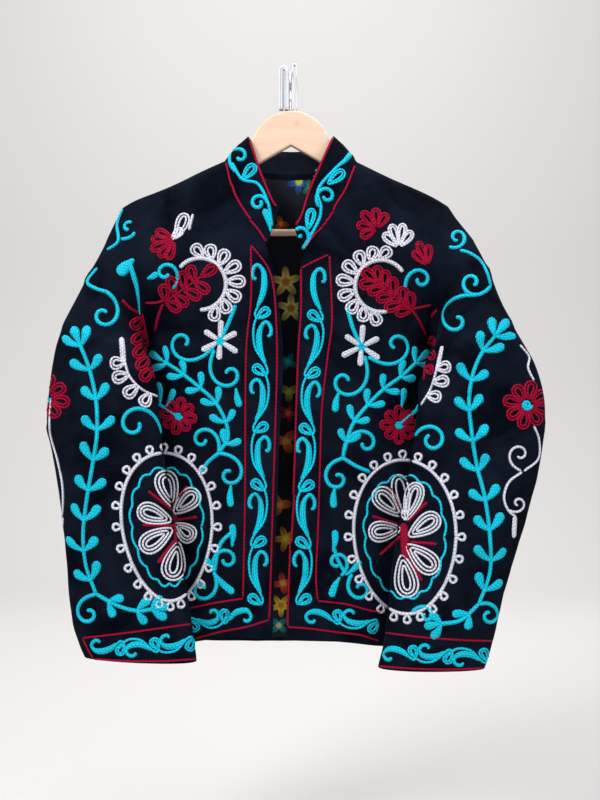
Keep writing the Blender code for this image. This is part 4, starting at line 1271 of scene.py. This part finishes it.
# Bands along the front edges, the hem and the cuffs, with the crimson lines beside them
bands = [
    # piece, middle line of the vine, half width, bays, first side
    ("front_right", [(262, 262), (262, 300), (261, 357), (260, 430), (259, 500), (257, 570),
                     (256, 606)], 11, 6, -1),
    ("front_right", [(252, 611), (236, 614), (212, 620), (190, 625)], 10.5, 2, 1),
    ("front_left", [(315, 266), (316, 320), (313, 357), (308, 420), (306, 480), (304, 540),
                    (303, 606)], 11, 6, 1),
    ("front_left", [(305, 612), (322, 615), (346, 619), (378, 627)], 10.5, 2, -1),
    ("sleeve_right", [(90, 650), (115, 648), (145, 646), (194, 643)], 10.5, 3, 1),
    ("sleeve_left", [(382, 650), (412, 653), (446, 656), (488, 656)], 10.5, 3, -1),
]
crimsonLines = [
    ("front_right", [(259, 255), (267, 266), (272, 279), (275, 300), (277, 345), (276.5, 389),
                     (273, 499), (270, 600), (269, 619)]),
    ("front_right", [(269, 620), (246, 627), (220, 632), (196, 638)]),
    ("front_right", [(251, 246), (251, 300), (246, 357), (245, 499), (243, 597)]),
    ("front_right", [(243, 598.6), (215, 603), (190, 608)]),
    ("front_right", [(251, 245.6), (255, 250), (259, 255)]),
    ("front_left", [(301, 269), (301, 313), (298, 357), (294, 480), (291, 531), (288, 608),
                    (287.8, 626)]),
    ("front_left", [(288, 627), (309, 628.6), (335, 632), (360, 635), (379, 641)]),
    ("front_left", [(329.5, 256), (332, 319), (327.6, 357), (322, 408), (320, 466), (318, 531),
                    (316, 575), (317.6, 600)]),
    ("front_left", [(318, 601), (345, 604), (368, 610), (385, 613)]),
    ("front_left", [(301.4, 268), (315, 261), (328, 255)]),
    ("sleeve_right", [(83, 638), (118, 634), (155, 629), (191, 624)]),
    ("sleeve_right", [(94, 659), (130, 661), (165, 661), (197, 659)]),
    ("sleeve_right", [(83, 639), (88, 649), (93, 658)]),
    ("sleeve_left", [(383, 632.5), (420, 637), (460, 640), (494, 641)]),
    ("sleeve_left", [(377, 666), (410, 668.5), (450, 669.5), (483, 668)]),
]
for piece, points, half, bays, firstSide in bands:
    border(pensFor(fromFront, [piece])["turquoise"], points, half, bays, firstSide)
for piece, points in crimsonLines:
    stem(pensFor(fromFront, [piece])["crimson"], points, lineWidth["edge"], 3)

# Collar: piping on both edges, with curls and loops between
collarPlan = {
    "pieces": ["collar"],
    "curls": [(236, 172, 240, 156, 8, 1), (268, 204, 258, 203, 8, -1),
              (319, 207, 327, 196, 8.5, 1), (305, 247, 299, 234, 6, -1)],
    "leaves": [(271, 232, 264, 209, 8), (336, 168, 353, 151, 6), (302, 250, 312, 232, 5)],
    "lines": [("turquoise", 3.6, [(232, 163), (242, 179), (258, 184), (268, 203), (272, 226)]),
              ("turquoise", 3.6, [(354, 152), (333, 171), (318, 190), (321, 207), (318, 222),
                                  (302, 250)])],
    "bars": [],
    "loops": [("turquoise", 243, 179, 255, 165, 10), ("turquoise", 328, 184, 344, 171, 10),
              ("turquoise", 308, 229, 312, 209, 9)],
    "vines": [],
    "piping": [[(249, 138.5), (259.5, 170), (271.5, 199), (276.5, 206.5)],
               [(226, 163), (234, 194), (247, 216), (257, 228), (266, 241)],
               [(333, 138), (320, 166), (309, 191.6), (302, 214), (296, 225)],
               [(355, 166), (345, 190), (335, 206), (331, 219), (316, 233), (304, 249)]],
}
sewPanel(collarPlan, fromFront)
for line in collarPlan["piping"]:
    stem(pensFor(fromFront, ["collar"])["crimson"], line, lineWidth["piping"], 5)
print("borders and collar embroidered")


def mirrored(points, middle=300):
    return [(2 * middle - x, y) for x, y in points]


def asGiven(points):
    return points


# The back repeats the same motifs in a plainer layout: a large oval, vines and a hem band
def sewBack():
    pens = pensFor(fromBack, ["back"])
    blue = pens["turquoise"]
    medallion(pens, (300, 400), 52, 82, leftFlower)
    for place, hand in ((asGiven, 1), (mirrored, -1)):
        vine(blue, place([(300, 545), (250, 540), (205, 510), (188, 450), (190, 390),
                          (208, 330)]), 30, 22, 10)
        lower, upper, flower, whiteFlower, arc, *curls = place([
            (300, 545), (208, 330), (205, 245), (252, 262), (238, 470), (262, 575), (232, 300)])
        scroll(blue, lower, curls[0], 13, -hand)
        scroll(blue, upper, curls[1], 13, hand)
        daisy(pens["crimson"], flower, 21, 8, 10, 10, "turquoise")
        star(pens["white"], whiteFlower, 20, 6, 6.8, -84, "turquoise")
        crescent(pens["white"], arc, 20, 90 - 10 * hand, 190 * hand, 7, (0.15, 0.85), 14, 10)
        border(blue, place([(297, 630), (250, 629), (200, 626), (152, 621)]), 10, 3, hand)
    for height in (614, 644):
        stem(pens["crimson"], [(448, height - 8), (390, height - 1), (300, height + 1),
                               (210, height - 1), (152, height - 8)], lineWidth["edge"])


def sewSleeveBacks():
    for piece, place, side in (("sleeve_right", asGiven, -1), ("sleeve_left", mirrored, 1)):
        pens = pensFor(fromBack, [piece])
        vine(pens["turquoise"], place([(118, 600), (108, 540), (104, 480), (92, 420), (88, 360),
                                       (104, 300), (118, 262)]), 30, 22, 10)
        border(pens["turquoise"], place([(92, 650), (130, 648), (160, 647), (188, 645)]),
               9, 3, side)
        for line in ([(84, 640), (130, 635), (192, 628)], [(94, 661), (130, 663), (196, 661)]):
            stem(pens["crimson"], place(line), lineWidth["edge"], 3)


def sewCollarBack():
    pens = pensFor(fromBack, ["collar"])
    border(pens["turquoise"], [(245, 158), (270, 166), (300, 168), (330, 166), (355, 158)],
           9, 4, 1)
    for line in ([(243, 146), (268, 152), (300, 154), (332, 152), (357, 146)],
                 [(238, 163), (262, 175), (300, 178), (338, 175), (362, 163)]):
        stem(pens["crimson"], line, lineWidth["piping"], 4)


sewBack()
sewSleeveBacks()
sewCollarBack()


# A new smooth piece from points and faces, its faces turned outward
def newPiece(name, points, faces, material, marks=()):
    mesh = bpy.data.meshes.new(name)
    mesh.from_pydata([tuple(p) for p in points], [], faces)
    if marks:
        layer = mesh.uv_layers.new(name="stitchMap")
        for corner in mesh.loops:
            layer.data[corner.index].uv = marks[corner.vertex_index]
    work = bmesh.new()
    work.from_mesh(mesh)
    bmesh.ops.recalc_face_normals(work, faces=work.faces)
    work.to_mesh(mesh)
    work.free()
    mesh.shade_smooth()
    mesh.materials.append(material)
    piece = addObject(name, mesh)
    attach(piece, body)
    return piece


def buildThreads():
    made = {}
    for (node, colour), store in sorted(threads.items()):
        name = colour + "_thread_" + node
        thread = newPiece(name, store["points"], store["faces"], threadMaterials[colour],
                          store["marks"])
        made.setdefault(node, []).append(thread)
        print(name, len(thread.data.polygons))
    return made


stitches = buildThreads()
print("threads built")


# Hanger, hook and cords
for node, levels in (("hanger_wood", 2), ("hanger_bar", 1)):
    angle = woodLook["sharpAngle"]
    settle(cleanCopy(node, node + "_wood", levels, angle), node, wood, angle)
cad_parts["hanger_hook"].data.materials.clear()
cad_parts["hanger_hook"].data.materials.append(steel)

cordLook = {
    "greyRadius": 0.0009, "whiteRadius": 0.0012, "sides": 7, "bottom": -0.0472,
    "leftFrom": -0.0136, "leftTo": -0.0034, "rightFrom": 0.0034, "rightTo": 0.0086,
    "depths": (-0.0034, -0.0012, 0.0012, 0.0034), "leftTop": 0.0085, "rightTop": 0.013,
    # steps up a leg and over the top, and how often a leg sways
    "legSteps": 14, "topSteps": 8, "sways": 1.6,
    # cords side by side, and what each one and each layer moves by
    "beside": 4, "inset": 0.0013, "insetBack": 0.8, "drop": 0.0012, "climb": 0.0005,
    "stagger": 0.0002, "sway": 0.0005, "swayTurn": 3, "whiteCords": (0, 2), "middleDepth": 0.003,
    "rightInset": (0.0002, 0.0003), "rightDrop": 0.001, "rightSway": 0.0004,
}


# Round closed tubes through some lines of points, in one piece
def newTubes(name, lines, radius, sides, material):
    points, faces = [], []
    for line in lines:
        first = len(points)
        n = len(line)
        for i, p in enumerate(line):
            way = (line[min(i + 1, n - 1)] - line[max(i - 1, 0)]).normalized()
            side = way.cross(Vector((0, 1, 0)))
            side = side.normalized() if side.length > 0.05 else Vector((1, 0, 0))
            other = way.cross(side)
            for k in range(sides):
                turn = 2 * math.pi * k / sides
                points.append(p + side * radius * math.cos(turn) + other * radius * math.sin(turn))
        for i in range(n - 1):
            for k in range(sides):
                a, b = first + i * sides + k, first + i * sides + (k + 1) % sides
                faces.append((a, b, b + sides, a + sides))
        faces.append(tuple(first + k for k in reversed(range(sides))))
        faces.append(tuple(first + (n - 1) * sides + k for k in range(sides)))
    return newPiece(name, points, faces, material)


# One cord that goes up on one side, over the top and down again
def strand(x1, x2, y, top, sway):
    look = cordLook
    bottom, steps, over = look["bottom"], look["legSteps"], look["topSteps"]
    half = abs(x2 - x1) / 2

    def leg(x, t):
        return Vector((x + sway * math.sin(math.pi * t * look["sways"]), y,
                       bottom + (top - half - bottom) * t))

    line = [leg(x1, i / steps) for i in range(steps + 1)]
    middle = (x1 + x2) / 2 + sway * math.sin(math.pi * look["sways"])
    for i in range(1, over):
        turn = math.pi * i / over
        line.append(Vector((middle - (x2 - x1) / 2 * math.cos(turn), y,
                            top - half + half * math.sin(turn))))
    return line + [leg(x2, 1 - i / steps) for i in range(steps + 1)]


def makeSkeins():
    look = cordLook
    grey, pale = [], []
    for layer, y in enumerate(look["depths"]):
        for k in range(look["beside"]):
            inset = look["inset"] * k
            x1, x2 = look["leftFrom"] + inset, look["leftTo"] - inset * look["insetBack"]
            top = look["leftTop"] - look["drop"] * k + look["climb"] * layer
            target = pale if layer == 0 and k in look["whiteCords"] else grey
            target.append(strand(x1, x2, y + look["stagger"] * (k % 2), top,
                                 look["sway"] * math.sin(look["swayTurn"] * k + y)))
        if abs(y) < look["middleDepth"]:
            x1, x2 = (look["rightFrom"] + look["rightInset"][0] * layer,
                      look["rightTo"] - look["rightInset"][1] * layer)
            (pale if layer == 1 else grey).append(
                strand(x1, x2, y, look["rightTop"] - look["rightDrop"] * layer,
                       look["rightSway"]))
    left = newTubes("grey_cords", grey, look["greyRadius"], look["sides"], greyCord)
    right = newTubes("white_cords", pale, look["whiteRadius"], look["sides"], whiteCord)
    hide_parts("cord_skein_right")
    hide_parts("cord_skein_left")


makeSkeins()
print("hanger and cords dressed")


# Cloth facts
cuts = {
    # piece: width and length of the cut in metres, its flat area, what it hangs from
    "front_right": ((0.235, 0.62), 0.118, ["hanger_wood_wood"]),
    "front_left": ((0.235, 0.62), 0.118, ["hanger_wood_wood"]),
    "back": ((0.46, 0.64), 0.27, ["hanger_wood_wood"]),
    "sleeve_right": ((0.34, 0.60), 0.17, ["front_right_cloth"]),
    "sleeve_left": ((0.34, 0.60), 0.17, ["front_left_cloth"]),
    "collar": ((0.50, 0.075), 0.024, ["back_cloth"]),
    "lining_back": ((0.42, 0.62), 0.24, ["back_cloth"]),
}


def shellArea(shell):
    return sum(p.area for p in shell.data.polygons) / 2


for node, (flat, area, carrier) in cuts.items():
    print(node, "built area", round(shellArea(shells[node]), 4))
